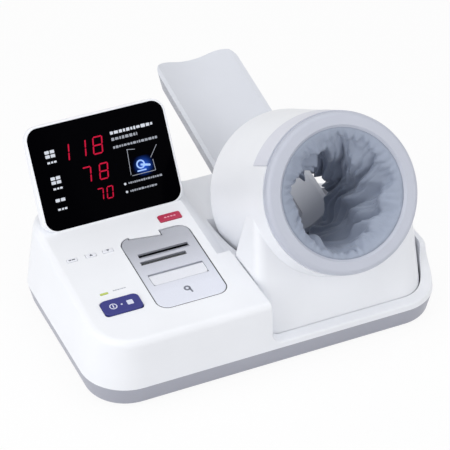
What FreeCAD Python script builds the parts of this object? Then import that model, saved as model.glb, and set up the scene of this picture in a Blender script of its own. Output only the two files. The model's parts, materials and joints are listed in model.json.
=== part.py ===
import FreeCAD, Part
import math
import os

"""Arm-in blood pressure monitor: a table-top base with a control panel and printer, and a tilting arm unit.

Millimetres, +Z up, +Y from the user towards the armrest, +X to the user's right.
Shapes are modelled in the base frame (x = 0 in the middle of the base, y = 0 at the base's front, z = 0 on
the table) and moved in y by save_all(), so that the stored origin is the bottom centre of the whole object.
"""

V = FreeCAD.Vector

# ---------------------------------------------------------------- base
BASE_W = 461.0          # over the top of the grey band
BASE_D = 287.0
BASE_R = 57.0           # plan radius of the corners
FOOT_H = 3.0
FOOT_R = 10.0
BAND_TOP = 30.0
BAND_FLARE = 6.0        # the tray's bottom outline lies this far inside its top outline
TRAY_T = 3.0
TRAY_EDGE_R = 5.0
HOUSING_T = 2.8
SIDE_DRAFT = math.radians(9.3)
END_DRAFT = math.radians(3.8)
PANEL_Y = 4.5           # front line of the control panel
PANEL_Z = 95.0
PANEL_SLOPE = 4.2       # degrees, rising to the rear
PANEL_EDGE_R = 9.0
CHEEK_TOP = 86.0        # top of the wall at the right of the arm unit
CHEEK_EDGE_R = 2.0
RAMP_R = 34.0           # the sill's sweep up to the cheek, in side view
RAMP_TOP_R = 8.0
SILL_CORNER_R = 14.0
LIP_Z = 38.0            # sill in front of the arm unit
LIP_W = 17.3
REAR_LIP_Z = 31.0
REAR_LIP_W = 15.0
SEAM = 0.9              # gap between the sill and the arm unit
SCREW_IN = 26.0         # tray screws from the base's sides
SPEAKER_AT = (-180.0, 68.0)
SPEAKER_R = 20.0
SIDE_SEAM = 1.6         # running gap at the arm unit's sides
JOG_Y = 112.0           # behind this line the bay widens
EDGE_X = -31.0          # where the panel starts to slope down to the shelf beside the drum
SHELF_DROP = 24.4       # shelf under the panel's plane
SHELF_R = 26.0          # blend between the slope and the shelf
SHELF_X = 40.0          # shelf's right end, beside the armrest
FIT = 0.3               # clearance round pieces that are dropped into a hole
RUN = 0.05              # radial clearance of a running shaft

# ---------------------------------------------------------------- arm unit
ARM_X = 103.65
ARM_TILT = 33.14        # degrees, the tunnel falls to the rear
RING_Y = 46.3
RING_Z = 195.3
RING_R = 96.8
RING_BORE = 76.0
RING_DEEP = 14.0
RING_EDGE_R = 6.0
HOOD_DEEP = 52.0
HOOD_SPAN = 57.0        # degrees to each side of the top
HOOD_PROUD = 0.6
DRUM_R0 = 97.6
DRUM_R1 = 107.0
DRUM_END = 181.0
DRUM_EDGE_R = 14.0
COVER_T = 2.8
PED_HALF = 109.5
PED_FLARE = math.radians(2.6)
PED_FACE_LEAN = math.radians(25.0)
PED_BACK_Y = 108.0
PED_BOTTOM = 17.0
PED_SHOULDER = 100.0
PED_TUCK = 3.0          # the front leans in below the sill, to swing clear of it
PED_LEFT_R = 16.0
PED_RIGHT_R = 39.0
TUBE_IN = 80.0
TUBE_OUT = 83.0
TUBE_END = 168.0
REAR_RING_R = TUBE_OUT + 4.0
REAR_RING_T = 3.0
EXIT_BORE = 66.0
PIVOT_Y = 85.0
PIVOT_Z = 36.0
TILT_RANGE = 4.0        # degrees each way
AXLE_R = 7.0

# ---------------------------------------------------------------- armrest
REST_Y = 307.3
REST_Z = 94.6
REST_SLOPE = 11.8
REST_HALF = 58.0
REST_LEN = 199.0        # from (REST_Y, REST_Z) to the tip
REST_ROOT = 165.0       # from (REST_Y, REST_Z) towards the drum
REST_DEEP = 30.0
REST_DRAFT = 8.0
REST_TIP_R = 32.0
REST_RIM = 6.0
REST_DIP = 14.0
REST_T = 4.0
ELBOW_W = 44.0
ELBOW_L = 62.0
ELBOW_AT = -88.0        # along the armrest
ELBOW_TRAVEL = 3.0

# ---------------------------------------------------------------- display
LENS_W = 177.0
LENS_H = 127.0
LENS_R = 15.0
LENS_T = 2.0
LENS_X = -116.6
LENS_Y = 221.0
LENS_RISE = 1.5         # lens edge above the panel
LEAN = 32.0
RIM = 3.0
BEZEL_DEEP = 6.0
SLAB_TOP = 11.5
SLAB_BOTTOM = 21.0
SHELL_T = 2.2
DIGIT_ROWS = ((91.0, 20.0, 29.0), (57.0, 20.0, 27.0), (27.0, 14.0, 19.0))   # height, width, tall
DIGIT_X = (-46.0, -22.0, 2.0)

# ---------------------------------------------------------------- panel pieces (panel frame: x, along, up)
START_AT = (-171.0, 66.5)
START_SIZE = (48.0, 26.0, 7.0)
STOP_AT = (-56.5, 192.5)
STOP_SIZE = (29.0, 12.5, 2.5)
KEY_Y = 162.5
KEY_SIZE = (13.0, 6.0, 1.5)
KEYS = {"set_key": -196.0, "up_key": -172.0, "down_key": -150.0}
LED_AT = (-182.7, 92.6)
LED_SIZE = (10.0, 3.2, 1.4)
BUTTON_TRAVEL = 2.0
KEY_TRAVEL = 0.8
BUTTON_GAP = 0.4
FLANGE_GAP = 0.2
FLANGE_T = 1.5
PRINTER_X = -87.7
COVER_W = 88.7
COVER_V0 = 42.0
COVER_V1 = 174.5
COVER_R = 14.0
COVER_T_TOP = 3.0
COVER_GAP = 1.1
COVER_RIM_R = 1.0
TONGUE = ((-30.0, -1.5), (8.5, -8.0))      # front edge of the housing's tongue into the cover's rear edge
TONGUE_GAP = 1.4
HINGE_IN = 4.0          # hinge axis below the cover's face
HINGE_BACK = COVER_R    # and in front of its rear edge, so that the rounded corners swing down clear
SWING_GAP = 0.7
PIN_R = 1.5
SKIRT_IN = 6.0
SKIRT_DEEP = 7.0
SKIRT_T = 2.0
EAR_R = 2.9
EAR_W = 4.0
EARS = (PRINTER_X - 33.0, PRINTER_X - 19.0, PRINTER_X + 15.0, PRINTER_X + 29.0)
EXIT_V = (133.6, 138.2, 142.3)      # paper exit: front of its ramp, foot of the ramp, rear edge
EXIT_L = 65.0
EXIT_DEEP = 2.2
TEAR_V = 126.4          # gap in front of the cutter bar
TEAR_X = PRINTER_X - 5.5
TEAR_SIZE = (59.0, 4.0)
LATCH_V = 93.5
LATCH_SIZE = (COVER_W - 18.7, 20.0, 3.6)
LATCH_IN = 4.0          # flap's axis below the cover's face
LATCH_SUNK = 0.2
LATCH_PIN_R = 1.0
BAY_T = 2.0
BAY_IN = 3.0            # bay's outer wall inside the cover's edge
ROLL_V = 92.0
ROLL_W = -34.0
ROLL_R = 22.0
BAY_DEEP = ROLL_R - ROLL_W + 6.0
ROLL_L = 57.5
CORE_R = 6.5
PLATEN_V = ROLL_V + ROLL_R + 18.0
PLATEN_W = -12.0
PLATEN_R = 5.5
PLATEN_L = 57.0
PAPER_T = 0.3
GEAR_M = 0.8
PLATEN_TEETH = 16
IDLER_TEETH = 30
MOTOR_TEETH = 12
GEAR_W = 4.0
PCB_T = 1.6


# ================================================================ helpers
def outline(points, radii, z=0.0):
    """Closed wire at height z through corner points (counter-clockwise), each rounded by its radius."""
    ends = []
    count = len(points)
    for i, (x, y) in enumerate(points):
        corner = V(x, y, z)
        before = (V(points[i - 1][0], points[i - 1][1], z) - corner).normalize()
        nxt = points[(i + 1) % count]
        after = (V(nxt[0], nxt[1], z) - corner).normalize()
        half = before.getAngle(after) / 2
        run = radii[i] / math.tan(half)
        middle = (before + after).normalize()
        centre = corner + middle * (radii[i] / math.sin(half))
        ends.append((corner + before * run, centre - middle * radii[i], corner + after * run))
    edges = []
    for i, (start, mid, end) in enumerate(ends):
        if radii[i] > 0:
            edges.append(Part.Arc(start, mid, end).toShape())
        following = ends[(i + 1) % count][0]
        if (following - end).Length > 1e-6:
            edges.append(Part.LineSegment(end, following).toShape())
    return Part.Wire(edges)


def rect(w, d, r, x=0.0, y=0.0, z=0.0):
    """Rounded rectangle wire centred on (x, y)."""
    corners = [(x - w / 2, y - d / 2), (x + w / 2, y - d / 2), (x + w / 2, y + d / 2), (x - w / 2, y + d / 2)]
    return outline(corners, [r] * 4, z)


def prism(wire, height):
    return Part.Face(wire).extrude(V(0, 0, height))


def block(x0, x1, y0, y1, z0, z1):
    return Part.makeBox(x1 - x0, y1 - y0, z1 - z0, V(x0, y0, z0))


def rod(r, x0, x1, y, z):
    """Cylinder along X."""
    return Part.makeCylinder(r, x1 - x0, V(x0, y, z), V(1, 0, 0))


def post(r, x, y, z0, z1):
    return Part.makeCylinder(r, z1 - z0, V(x, y, z0))


def fuse(shapes):
    shapes = list(shapes)
    return shapes[0].multiFuse(shapes[1:]).removeSplitter() if len(shapes) > 1 else shapes[0]


def place(shape, origin, turn_x, turn_z=0.0):
    """Turn a shape about Z, then about X, and put its local origin at origin."""
    spin = FreeCAD.Rotation(V(1, 0, 0), turn_x) * FreeCAD.Rotation(V(0, 0, 1), turn_z)
    copy = shape.copy()
    copy.Placement = FreeCAD.Placement(V(*origin), spin).multiply(copy.Placement)
    return copy


def on_panel(shape):
    return place(shape, (0, PANEL_Y, PANEL_Z), PANEL_SLOPE)


def in_arm(shape):
    """Arm frame: x across, y down, z along the tunnel from the ring's face."""
    return place(shape, (ARM_X, RING_Y, RING_Z), -(90 + ARM_TILT))


def on_rest(shape):
    return place(shape, (ARM_X, REST_Y, REST_Z), REST_SLOPE)


def panel_z(y):
    return PANEL_Z + (y - PANEL_Y) * math.tan(math.radians(PANEL_SLOPE))


def on_display(shape):
    return place(shape, (LENS_X, LENS_Y, panel_z(LENS_Y) + LENS_RISE), 90 - LEAN)


def on_rear(shape, x, z):
    """Rear wall frame: x to the left, y up, z outwards."""
    y = BASE_D - (z - BAND_TOP) * math.tan(END_DRAFT)
    return place(shape, (x, y, z), math.degrees(END_DRAFT) - 90, 180)


def gear(teeth, width, bore, phase=0.0):
    """Straight gear about Z with one tooth at angle phase (radians)."""
    pitch = GEAR_M * teeth / 2
    step = 2 * math.pi / teeth
    profile = ((pitch - 1.15 * GEAR_M, 0.31), (pitch, 0.215), (pitch + 0.9 * GEAR_M, 0.10))
    points = []
    for tooth in range(teeth):
        middle = phase + tooth * step
        for side in (-1, 1):
            for radius, share in (profile if side < 0 else reversed(profile)):
                angle = middle + side * share * step
                points.append(V(radius * math.cos(angle), radius * math.sin(angle), 0))
    body = Part.Face(Part.makePolygon(points + points[:1])).extrude(V(0, 0, width))
    return body.cut(Part.makeCylinder(bore, width + 2, V(0, 0, -1))) if bore else body


def save_all(nodes):
    """Write every node, moved so that y = 0 is the middle of the whole object."""
    front = nodes["front_ring"].optimalBoundingBox(False).YMin
    back = nodes["arm_rest"].optimalBoundingBox(False).YMax
    for name, shape in nodes.items():
        moved = shape.copy()
        moved.translate(V(0, -(min(0.0, front) + back) / 2, 0))
        moved.exportStep("parts/%s.step" % name)


# ================================================================ base
def base_outline(z, inset):
    """Outline of the base at height z, following the draft above the band."""
    rise = max(0.0, z - BAND_TOP)
    side = inset + rise * math.tan(SIDE_DRAFT)
    end = inset + rise * math.tan(END_DRAFT)
    radius = BASE_R - (side + end) / 2
    return rect(BASE_W - 2 * side, BASE_D - 2 * end, radius, 0, BASE_D / 2, z)


def base_tray():
    outer = Part.makeLoft([base_outline(FOOT_H, BAND_FLARE), base_outline(BAND_TOP, 0)], True, True)
    low = [e for e in outer.Edges if e.BoundBox.ZMax < FOOT_H + 0.01]
    outer = outer.makeFillet(TRAY_EDGE_R, low)
    floor = FOOT_H + TRAY_T
    slope = BAND_FLARE / (BAND_TOP - FOOT_H)
    inner = Part.makeLoft([base_outline(floor, BAND_FLARE + TRAY_T - slope * TRAY_T),
                           base_outline(BAND_TOP + 1, TRAY_T - slope)], True, True)
    tray = outer.cut(inner)
    pads = [post(9.0, x, y, floor - 0.1, floor + 4.0).cut(bay(HOUSING_T + FIT)) for x, y in screw_points()]
    tray = fuse([tray] + pads)
    for x, y in screw_points():
        tray = tray.cut(post(2.3, x, y, 0, floor + 10))
        tray = tray.cut(post(4.6, x, y, 0, FOOT_H + TRAY_T))
    grille = []
    for row in range(-3, 4):
        slit = rect(28.0 - abs(row) * 5.0, 2.2, 1.0, SPEAKER_AT[0], SPEAKER_AT[1] + row * 5.0, 0)
        grille.append(prism(slit, floor + 1))
    return tray.cut(Part.makeCompound(grille))


def screw_points():
    """Screws that hold the tray to the upper housing."""
    x = BASE_W / 2 - SCREW_IN
    middle = [(-70.0, 18.0), (-70.0, BASE_D - 18.0), (EDGE_X + 7.0, 98.0)]
    return [(-x, 40.0), (-x, BASE_D - 40.0)] + middle


def feet():
    x = BASE_W / 2 - 48.0
    spots = [(-x, 44.0), (-x, BASE_D - 44.0), (x, 44.0), (x, BASE_D - 44.0), (0.0, 24.0)]
    return Part.makeCompound([post(FOOT_R, px, py, 0, FOOT_H) for px, py in spots])


def tray_screws():
    solids = []
    floor = FOOT_H + TRAY_T
    for x, y in screw_points():
        head = post(3.8, x, y, floor - 2.6, floor)
        shank = post(2.0, x, y, floor - 0.5, floor + 16)
        solids.append(head.fuse(shank).removeSplitter())
    return Part.makeCompound(solids)


def left_edge(y):
    """Pedestal's left side in plan."""
    return ARM_X - PED_HALF - y * math.tan(PED_FLARE)


def bay(grow):
    """Space that the arm unit stands in, grown by a wall thickness."""
    front = LIP_W - SEAM - grow
    right = ARM_X + PED_HALF + SIDE_SEAM + grow
    back = JOG_Y + grow
    gap = SIDE_SEAM + grow
    corners = [(left_edge(front) - gap, front), (right, front), (right, back), (left_edge(back) - gap, back)]
    radii = [PED_LEFT_R + SEAM + grow, PED_RIGHT_R + SEAM + grow, 0.01, 0.01]
    top = PANEL_Z + BASE_D
    tub = prism(outline(corners, radii, -1), top)
    rear = BASE_D - REAR_LIP_W + grow
    pocket = block(SHELF_X - grow, right, JOG_Y - grow, rear, -1, top)
    low = LIP_Z - grow
    left = left_edge(0) - gap
    reach = ARM_X + 10
    sill = outline([(left, low), (reach, low), (reach, top), (left, top)], [SILL_CORNER_R - grow, 0, 0, 0])
    sill = along_y(prism(sill, 50 + LIP_W + PED_LEFT_R + 1), -50)
    sill.rotate(V(left, 0, 0), V(0, 0, 1), math.degrees(PED_FLARE))
    back_sill = block(SHELF_X - grow, right, rear - 5, 2 * BASE_D, REAR_LIP_Z - grow, top)
    return fuse([tub, pocket, saddle(grow), drum_swing(grow), sill, back_sill, ramp(grow)])


def saddle(grow):
    """Space beside the panel: the panel's edge falls to a shelf that runs to the armrest."""
    steep = grow * math.sqrt(2)
    low = -SHELF_DROP - grow
    foot = EDGE_X + SHELF_DROP + grow - steep
    corners = [(EDGE_X - 80 - steep, 80), (foot, low), (ARM_X, low), (ARM_X, 80)]
    space = along_y(prism(outline(corners, [0, SHELF_R + grow, 0, 0]), 2 * BASE_D), 0)
    space = place(space, (0, 0, panel_z(0)), PANEL_SLOPE)
    return space.common(block(-BASE_W, ARM_X, JOG_Y - grow, 2 * BASE_D, 0, PANEL_Z + BASE_D))


def drum_swing(grow):
    """Space that the drum sweeps behind the jog as the arm unit tilts."""
    space = SIDE_SEAM + grow
    drum = Part.makeCylinder(DRUM_R1 + space, DRUM_END + space)
    drum = in_arm(drum.fuse(Part.makeCylinder(REAR_RING_R + space, DRUM_END + REAR_RING_T + space)))
    turned = []
    for turn in (-TILT_RANGE, 0, TILT_RANGE):
        turned.append(drum.copy())
        turned[-1].rotate(V(0, PIVOT_Y, PIVOT_Z), V(1, 0, 0), turn)
    return fuse(turned).common(block(-BASE_W, BASE_W, JOG_Y - grow, 2 * BASE_D, -1, PANEL_Z + BASE_D))


def along_y(shape, y0):
    """Turn a prism drawn in (x, z) so that it runs along +Y from y0."""
    turned = shape.mirror(V(0, 0, 0), V(0, 0, 1))
    return place(turned, (0, y0, 0), 90)


def along_x(shape, x0):
    """Turn a prism drawn in (y, z) so that it runs along +X from x0."""
    turn = FreeCAD.Rotation(V(1, 1, 1), 120)
    copy = shape.copy()
    copy.Placement = FreeCAD.Placement(V(x0, 0, 0), turn).multiply(copy.Placement)
    return copy


def ramp(grow):
    """Space over the sill's right end and over the cheek: the sill sweeps up into the cheek's top."""
    start = LIP_W - SEAM + RAMP_R + grow
    low = LIP_Z - grow
    top = CHEEK_TOP - grow
    far = 2 * BASE_D
    corners = [(-50, low), (start, low), (start, top), (far, top), (far, far), (-50, far)]
    profile = outline(corners, [0, RAMP_R + grow, RAMP_TOP_R - grow, 0, 0, 0])
    return along_x(prism(profile, BASE_W), ARM_X)


def top_cut(lower):
    """Everything above the panel plane, or above that plane lowered."""
    slab = block(-BASE_W, BASE_W, -BASE_D, 3 * BASE_D, -lower, 3 * BASE_D)
    return on_panel(slab)


def housing_block(inset, lower):
    high = PANEL_Z + 45.0
    body = Part.makeLoft([base_outline(BAND_TOP, inset), base_outline(high, inset)], True, True)
    return body.cut(top_cut(lower))


def middle_of(edge):
    return edge.valueAt((edge.FirstParameter + edge.LastParameter) / 2)


def on_outline(edge):
    """True for a top edge that runs along the drafted outer wall."""
    point = middle_of(edge)
    ends = abs(edge.Vertexes[0].Z - edge.Vertexes[-1].Z)
    near = Part.Vertex(point).distToShape(base_outline(point.z, 0))[0] < 0.2
    return near and point.z > CHEEK_TOP - 1 and ends < 0.3 * edge.Length


def upper_housing():
    outer = housing_block(0, 0).cut(bay(0))
    panel_rim = [e for e in outer.Edges if on_outline(e) and middle_of(e).z > PANEL_Z - 1]
    outer = outer.makeFillet(PANEL_EDGE_R, panel_rim)
    cheek_rim = [e for e in outer.Edges if on_outline(e) and middle_of(e).x > ARM_X]
    cheek_rim = [e for e in cheek_rim if middle_of(e).z < PANEL_Z - 1]
    outer = outer.makeFillet(CHEEK_EDGE_R, cheek_rim)
    inner = housing_block(HOUSING_T, HOUSING_T)
    inner = inner.cut(bay(HOUSING_T))
    shell = outer.cut(inner)
    foot = FOOT_H + TRAY_T + FIT
    tub = bay(HOUSING_T).cut(bay(0)).common(block(-BASE_W, BASE_W, 0, BASE_D, foot, BAND_TOP + 1))
    keep_in = Part.makeLoft([base_outline(foot - 1, BAND_FLARE + TRAY_T + 1.5),
                             base_outline(BAND_TOP + 1.5, TRAY_T + 1.5)], True, True)
    shell = fuse([shell, tub.common(keep_in)])
    pads = []
    for x, y in screw_points():
        pads.append(post(5.0, x, y, FOOT_H + TRAY_T + 4.0, panel_z(y) - 1).cut(post(2.1, x, y, 0, 40)))
    shell = fuse([shell] + [p.cut(bay(0)) for p in pads])
    for cut in panel_holes():
        shell = shell.cut(cut)
    return shell


def panel_holes():
    cuts = [plate_hole(START_AT, START_SIZE, BUTTON_GAP), plate_hole(STOP_AT, STOP_SIZE, BUTTON_GAP),
            plate_hole(LED_AT, LED_SIZE, FIT)]
    cuts += [plate_hole((x, KEY_Y), KEY_SIZE, BUTTON_GAP) for x in KEYS.values()]
    length = COVER_V1 - COVER_V0 + 2 * COVER_GAP
    width = COVER_W + 2 * COVER_GAP
    door = rect(width, length, COVER_R + COVER_GAP, PRINTER_X, cover_middle(), -20)
    cuts.append(on_panel(prism(door, 40).cut(tongue(0))))
    level = panel_z(LENS_Y)
    cuts.append(block(LENS_X - 30, LENS_X + 30, LENS_Y + 4, LENS_Y + 12, level - 10, level + 20))
    cuts.append(wall_hole(INLET_W, INLET_H, 2.0, INLET_X))
    cuts.append(wall_hole(SWITCH_W, SWITCH_H, 1.0, SWITCH_X))
    return cuts


def wall_hole(width, height, radius, x):
    """Hole through the rear wall for a part of this size."""
    wire = rect(width + 2 * FIT, height + 2 * FIT, radius, 0, 0, -10)
    return on_rear(prism(wire, 20), x, REAR_Z)


def plate_hole(at, size, gap):
    wire = rect(size[0] + 2 * gap, size[1] + 2 * gap, size[2] * 0.6 + gap, at[0], at[1], -8)
    return on_panel(prism(wire, 16))


# ================================================================ display
def slab_back(extra):
    """Wedge behind the bezel: thick at the bottom and thin at the top."""
    top = LENS_H + RIM
    profile = [(-60, -BEZEL_DEEP), (top + 20, -BEZEL_DEEP), (top + 20, -SLAB_TOP + extra),
               (top, -SLAB_TOP + extra), (-RIM, -SLAB_BOTTOM + extra), (-60, -SLAB_BOTTOM - 4 + extra)]
    points = [V(-LENS_W, y, z) for y, z in profile]
    return Part.Face(Part.makePolygon(points + points[:1])).extrude(V(2 * LENS_W, 0, 0))


def lens_rect(grow, z):
    """Outline of the lens, grown on every side."""
    return rect(LENS_W + 2 * grow, LENS_H + 2 * grow, LENS_R + grow, 0, LENS_H / 2, z)


def above_panel(shape):
    return shape.cut(on_panel(block(-BASE_W, BASE_W, -BASE_D, 3 * BASE_D, -3 * BASE_D, 0.0)))


def display_bezel():
    body = prism(lens_rect(RIM, -BEZEL_DEEP), BEZEL_DEEP)
    front = [e for e in body.Edges if e.BoundBox.ZMin > -0.01]
    body = body.makeFillet(1.2, front)
    body = body.cut(prism(lens_rect(FIT, -LENS_T), LENS_T + 1))
    body = body.cut(prism(lens_rect(RIM - SHELL_T, -BEZEL_DEEP - 1), BEZEL_DEEP + 1 - LENS_T - 1.5))
    body = body.cut(prism(lens_rect(-5.0, -BEZEL_DEEP), BEZEL_DEEP))
    return above_panel(on_display(body))


def display_back():
    outer = prism(lens_rect(RIM, -SLAB_BOTTOM - 10), SLAB_BOTTOM + 10 - BEZEL_DEEP).common(slab_back(0))
    inner = prism(lens_rect(RIM - SHELL_T, -SLAB_BOTTOM - 10), SLAB_BOTTOM + 11 - BEZEL_DEEP)
    inner = inner.common(slab_back(SHELL_T).fuse(prism(lens_rect(RIM - SHELL_T, -BEZEL_DEEP - 0.5), 2)))
    behind = [e for e in outer.Edges if e.BoundBox.ZMax < -BEZEL_DEEP - 1]
    rear = [e for e in behind if e.Length > 20 and e.BoundBox.ZLength < 14]
    outer = outer.makeFillet(3.0, rear)
    return above_panel(on_display(outer.cut(inner)))


def display_lens():
    return above_panel(on_display(prism(lens_rect(0, -LENS_T), LENS_T)))


def display_board():
    board = prism(rect(LENS_W - 30, LENS_H - 26, 3, 0, LENS_H / 2 + 4, -BOARD_BACK), PCB_T)
    for x in (-60, 60):
        board = board.cut(Part.makeCylinder(1.6, 20, V(x, LENS_H / 2 + 40, -20)))
    return on_display(board)


BOARD_BACK = 9.2


def digit_modules():
    solids = []
    for height, width, tall in DIGIT_ROWS:
        for i, x in enumerate(DIGIT_X):
            body = block(x - width / 2, x + width / 2, height - tall / 2, height + tall / 2,
                         -BOARD_BACK + PCB_T, -LENS_T - 0.4)
            solids.append(body)
    return on_display(Part.makeCompound(solids))


def guide_light():
    """Lit pictogram block behind the right part of the lens."""
    return on_display(block(24, 66, 42, 84, -BOARD_BACK + PCB_T, -LENS_T - 0.4))


# ================================================================ buttons
def cap(at, size, proud):
    """Button cap: a rounded block through its hole, with a retaining flange just under the panel."""
    w, d, r = size
    under = -HOUSING_T - FLANGE_GAP - FLANGE_T
    head = prism(rect(w, d, r, at[0], at[1], under), proud - under)
    top = [e for e in head.Edges if e.BoundBox.ZMin > proud - 0.01]
    head = head.makeFillet(min(0.8, proud * 0.8), top)
    flange = prism(rect(w + 4, d + 4, r + 2, at[0], at[1], under), FLANGE_T)
    return on_panel(fuse([head, flange]))


def start_stop_button():
    return cap(START_AT, START_SIZE, 2.0)


def emergency_button():
    return cap(STOP_AT, STOP_SIZE, 1.6)


def small_key(x):
    return cap((x, KEY_Y), KEY_SIZE, 0.9)


def status_led():
    w, d, r = LED_SIZE
    lamp = prism(rect(w, d, r, LED_AT[0], LED_AT[1], -SWITCH_DROP + PCB_T), SWITCH_DROP - PCB_T + 0.3)
    return on_panel(lamp)


SWITCH_DROP = 14.0      # panel board's underside below the panel


def panel_board():
    low = START_AT[1] - 16
    high = KEY_Y + 8
    left = KEYS["set_key"] - 10
    right = PRINTER_X - COVER_W / 2 - 6
    x, y = STOP_AT
    under = -SWITCH_DROP
    over = under + PCB_T
    board = block(left, right, low, high, under, over)
    wing = block(x - 18, x + 16, y - 9, y + 8, under, over)
    link = block(right - 10, x, y - 9, y + 1, under, over)
    neck = block(right - 10, right, high - 5, y, under, over)
    return on_panel(fuse([board, neck, link, wing]))


def tact_switches():
    """Switch under each button, as far below the cap's flange as the button travels."""
    solids = []
    spots = [(START_AT, BUTTON_TRAVEL), (STOP_AT, BUTTON_TRAVEL)]
    spots += [((x, KEY_Y), KEY_TRAVEL) for x in KEYS.values()]
    flange = -HOUSING_T - FLANGE_GAP - FLANGE_T
    base = -SWITCH_DROP + PCB_T
    for (x, y), travel in spots:
        solids.append(block(x - 3, x + 3, y - 3, y + 3, base, flange - travel - 0.15))
    return on_panel(Part.makeCompound(solids))


# ================================================================ printer
def cover_middle():
    return (COVER_V0 + COVER_V1) / 2


def hinge_v():
    return COVER_V1 - HINGE_BACK


def latch_v():
    return LATCH_V + LATCH_SIZE[1] / 2 - LATCH_IN + LATCH_SUNK


def bar(radius, half, v, w):
    """Rod across the printer, centred on it."""
    return rod(radius, PRINTER_X - half, PRINTER_X + half, v, w)


def slab(half, v0, v1, w0, w1):
    """Block across the printer, centred on it."""
    return block(PRINTER_X - half, PRINTER_X + half, v0, v1, w0, w1)


def tongue(gap):
    """Piece of the panel that reaches into the cover's rear edge, grown by a gap."""
    (x0, v0), (x1, v1) = TONGUE
    points = [(PRINTER_X + x0 - gap, COVER_V1 + v0 - gap), (PRINTER_X + x1 + gap, COVER_V1 + v1 - gap),
              (PRINTER_X + x1 + gap, COVER_V1 + 5), (PRINTER_X + x0 - gap, COVER_V1 + 5)]
    return prism(outline(points, (0.5, 0.5, 0.5, 0.5), -20), 40)


def printer_cover():
    length = COVER_V1 - COVER_V0
    plate = prism(rect(COVER_W, length, COVER_R, PRINTER_X, cover_middle(), -COVER_T_TOP), COVER_T_TOP)
    plate = plate.cut(tongue(TONGUE_GAP))
    plate = plate.makeFillet(COVER_RIM_R, [e for e in plate.Edges if e.BoundBox.ZMin > -0.01])
    front = COVER_V0 + SKIRT_IN
    back = hinge_v() - 9.0
    half = COVER_W / 2 - SKIRT_IN
    skirt = slab(half, front, back, -SKIRT_DEEP, -0.5)
    skirt = skirt.cut(slab(half - SKIRT_T, front + SKIRT_T, back - SKIRT_T, -SKIRT_DEEP - 1, 0))
    knuckles = [rod(HINGE_IN, x, x + 8, hinge_v(), -HINGE_IN)
                for x in (PRINTER_X - 28.0, PRINTER_X + 20.0)]
    body = fuse([plate, skirt] + knuckles)
    for x in EARS:
        body = body.cut(rod(EAR_R + FIT, x - 0.6, x + EAR_W + 0.6, hinge_v(), -HINGE_IN))
    body = body.cut(prism(rect(*TEAR_SIZE, 1.0, TEAR_X, TEAR_V, -20), 40))
    body = body.cut(paper_exit())
    w, d, r = LATCH_SIZE
    gap = 2 * FIT + 0.4
    body = body.cut(prism(rect(w + gap, d + gap, r / 2, PRINTER_X, LATCH_V, -20), 40))
    lugs = [block(x - 1.2, x + 1.2, latch_v() - 3, latch_v() + 3, -LATCH_IN - 2, -COVER_T_TOP)
            for x in (PRINTER_X - w / 2 - 2.0, PRINTER_X + w / 2 + 2.0)]
    body = fuse([body] + lugs)
    body = body.cut(bar(LATCH_PIN_R + RUN, w / 2 + 3, latch_v(), -LATCH_IN))
    return on_panel(body.cut(bar(PIN_R + RUN, COVER_W, hinge_v(), -HINGE_IN)))


def paper_exit():
    """Slot for the paper, with a ramp down to it from the front."""
    front, foot, rear = EXIT_V
    points = [(front, 0.1), (front, 0), (foot, -EXIT_DEEP), (foot, -20), (rear, -20), (rear, 0.1)]
    corners = [V(PRINTER_X - EXIT_L / 2, v, w) for v, w in points]
    return Part.Face(Part.makePolygon(corners + corners[:1])).extrude(V(EXIT_L, 0, 0))


def cover_latch():
    """Flap in the cover: lifting its front edge frees the cover's hook."""
    w, d, r = LATCH_SIZE
    plate = prism(rect(w, d, r, PRINTER_X, LATCH_V, -2.4), 2.4 - LATCH_SUNK)
    behind = slab(w, latch_v(), LATCH_V + d, -9, 5)
    plate = plate.cut(behind.cut(bar(LATCH_IN - LATCH_SUNK, w, latch_v(), -LATCH_IN)))
    barrel = bar(2.0, w / 2 - 1, latch_v(), -LATCH_IN)
    pin = bar(LATCH_PIN_R, w / 2 + 2.6, latch_v(), -LATCH_IN)
    front = LATCH_V - d / 2
    hook = slab(6, front + 2, front + 4.5, -6.5, -2)
    return on_panel(fuse([plate, barrel, pin, hook]))


def cover_hinge_pin():
    return on_panel(bar(PIN_R, 34.0, hinge_v(), -HINGE_IN))


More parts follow.
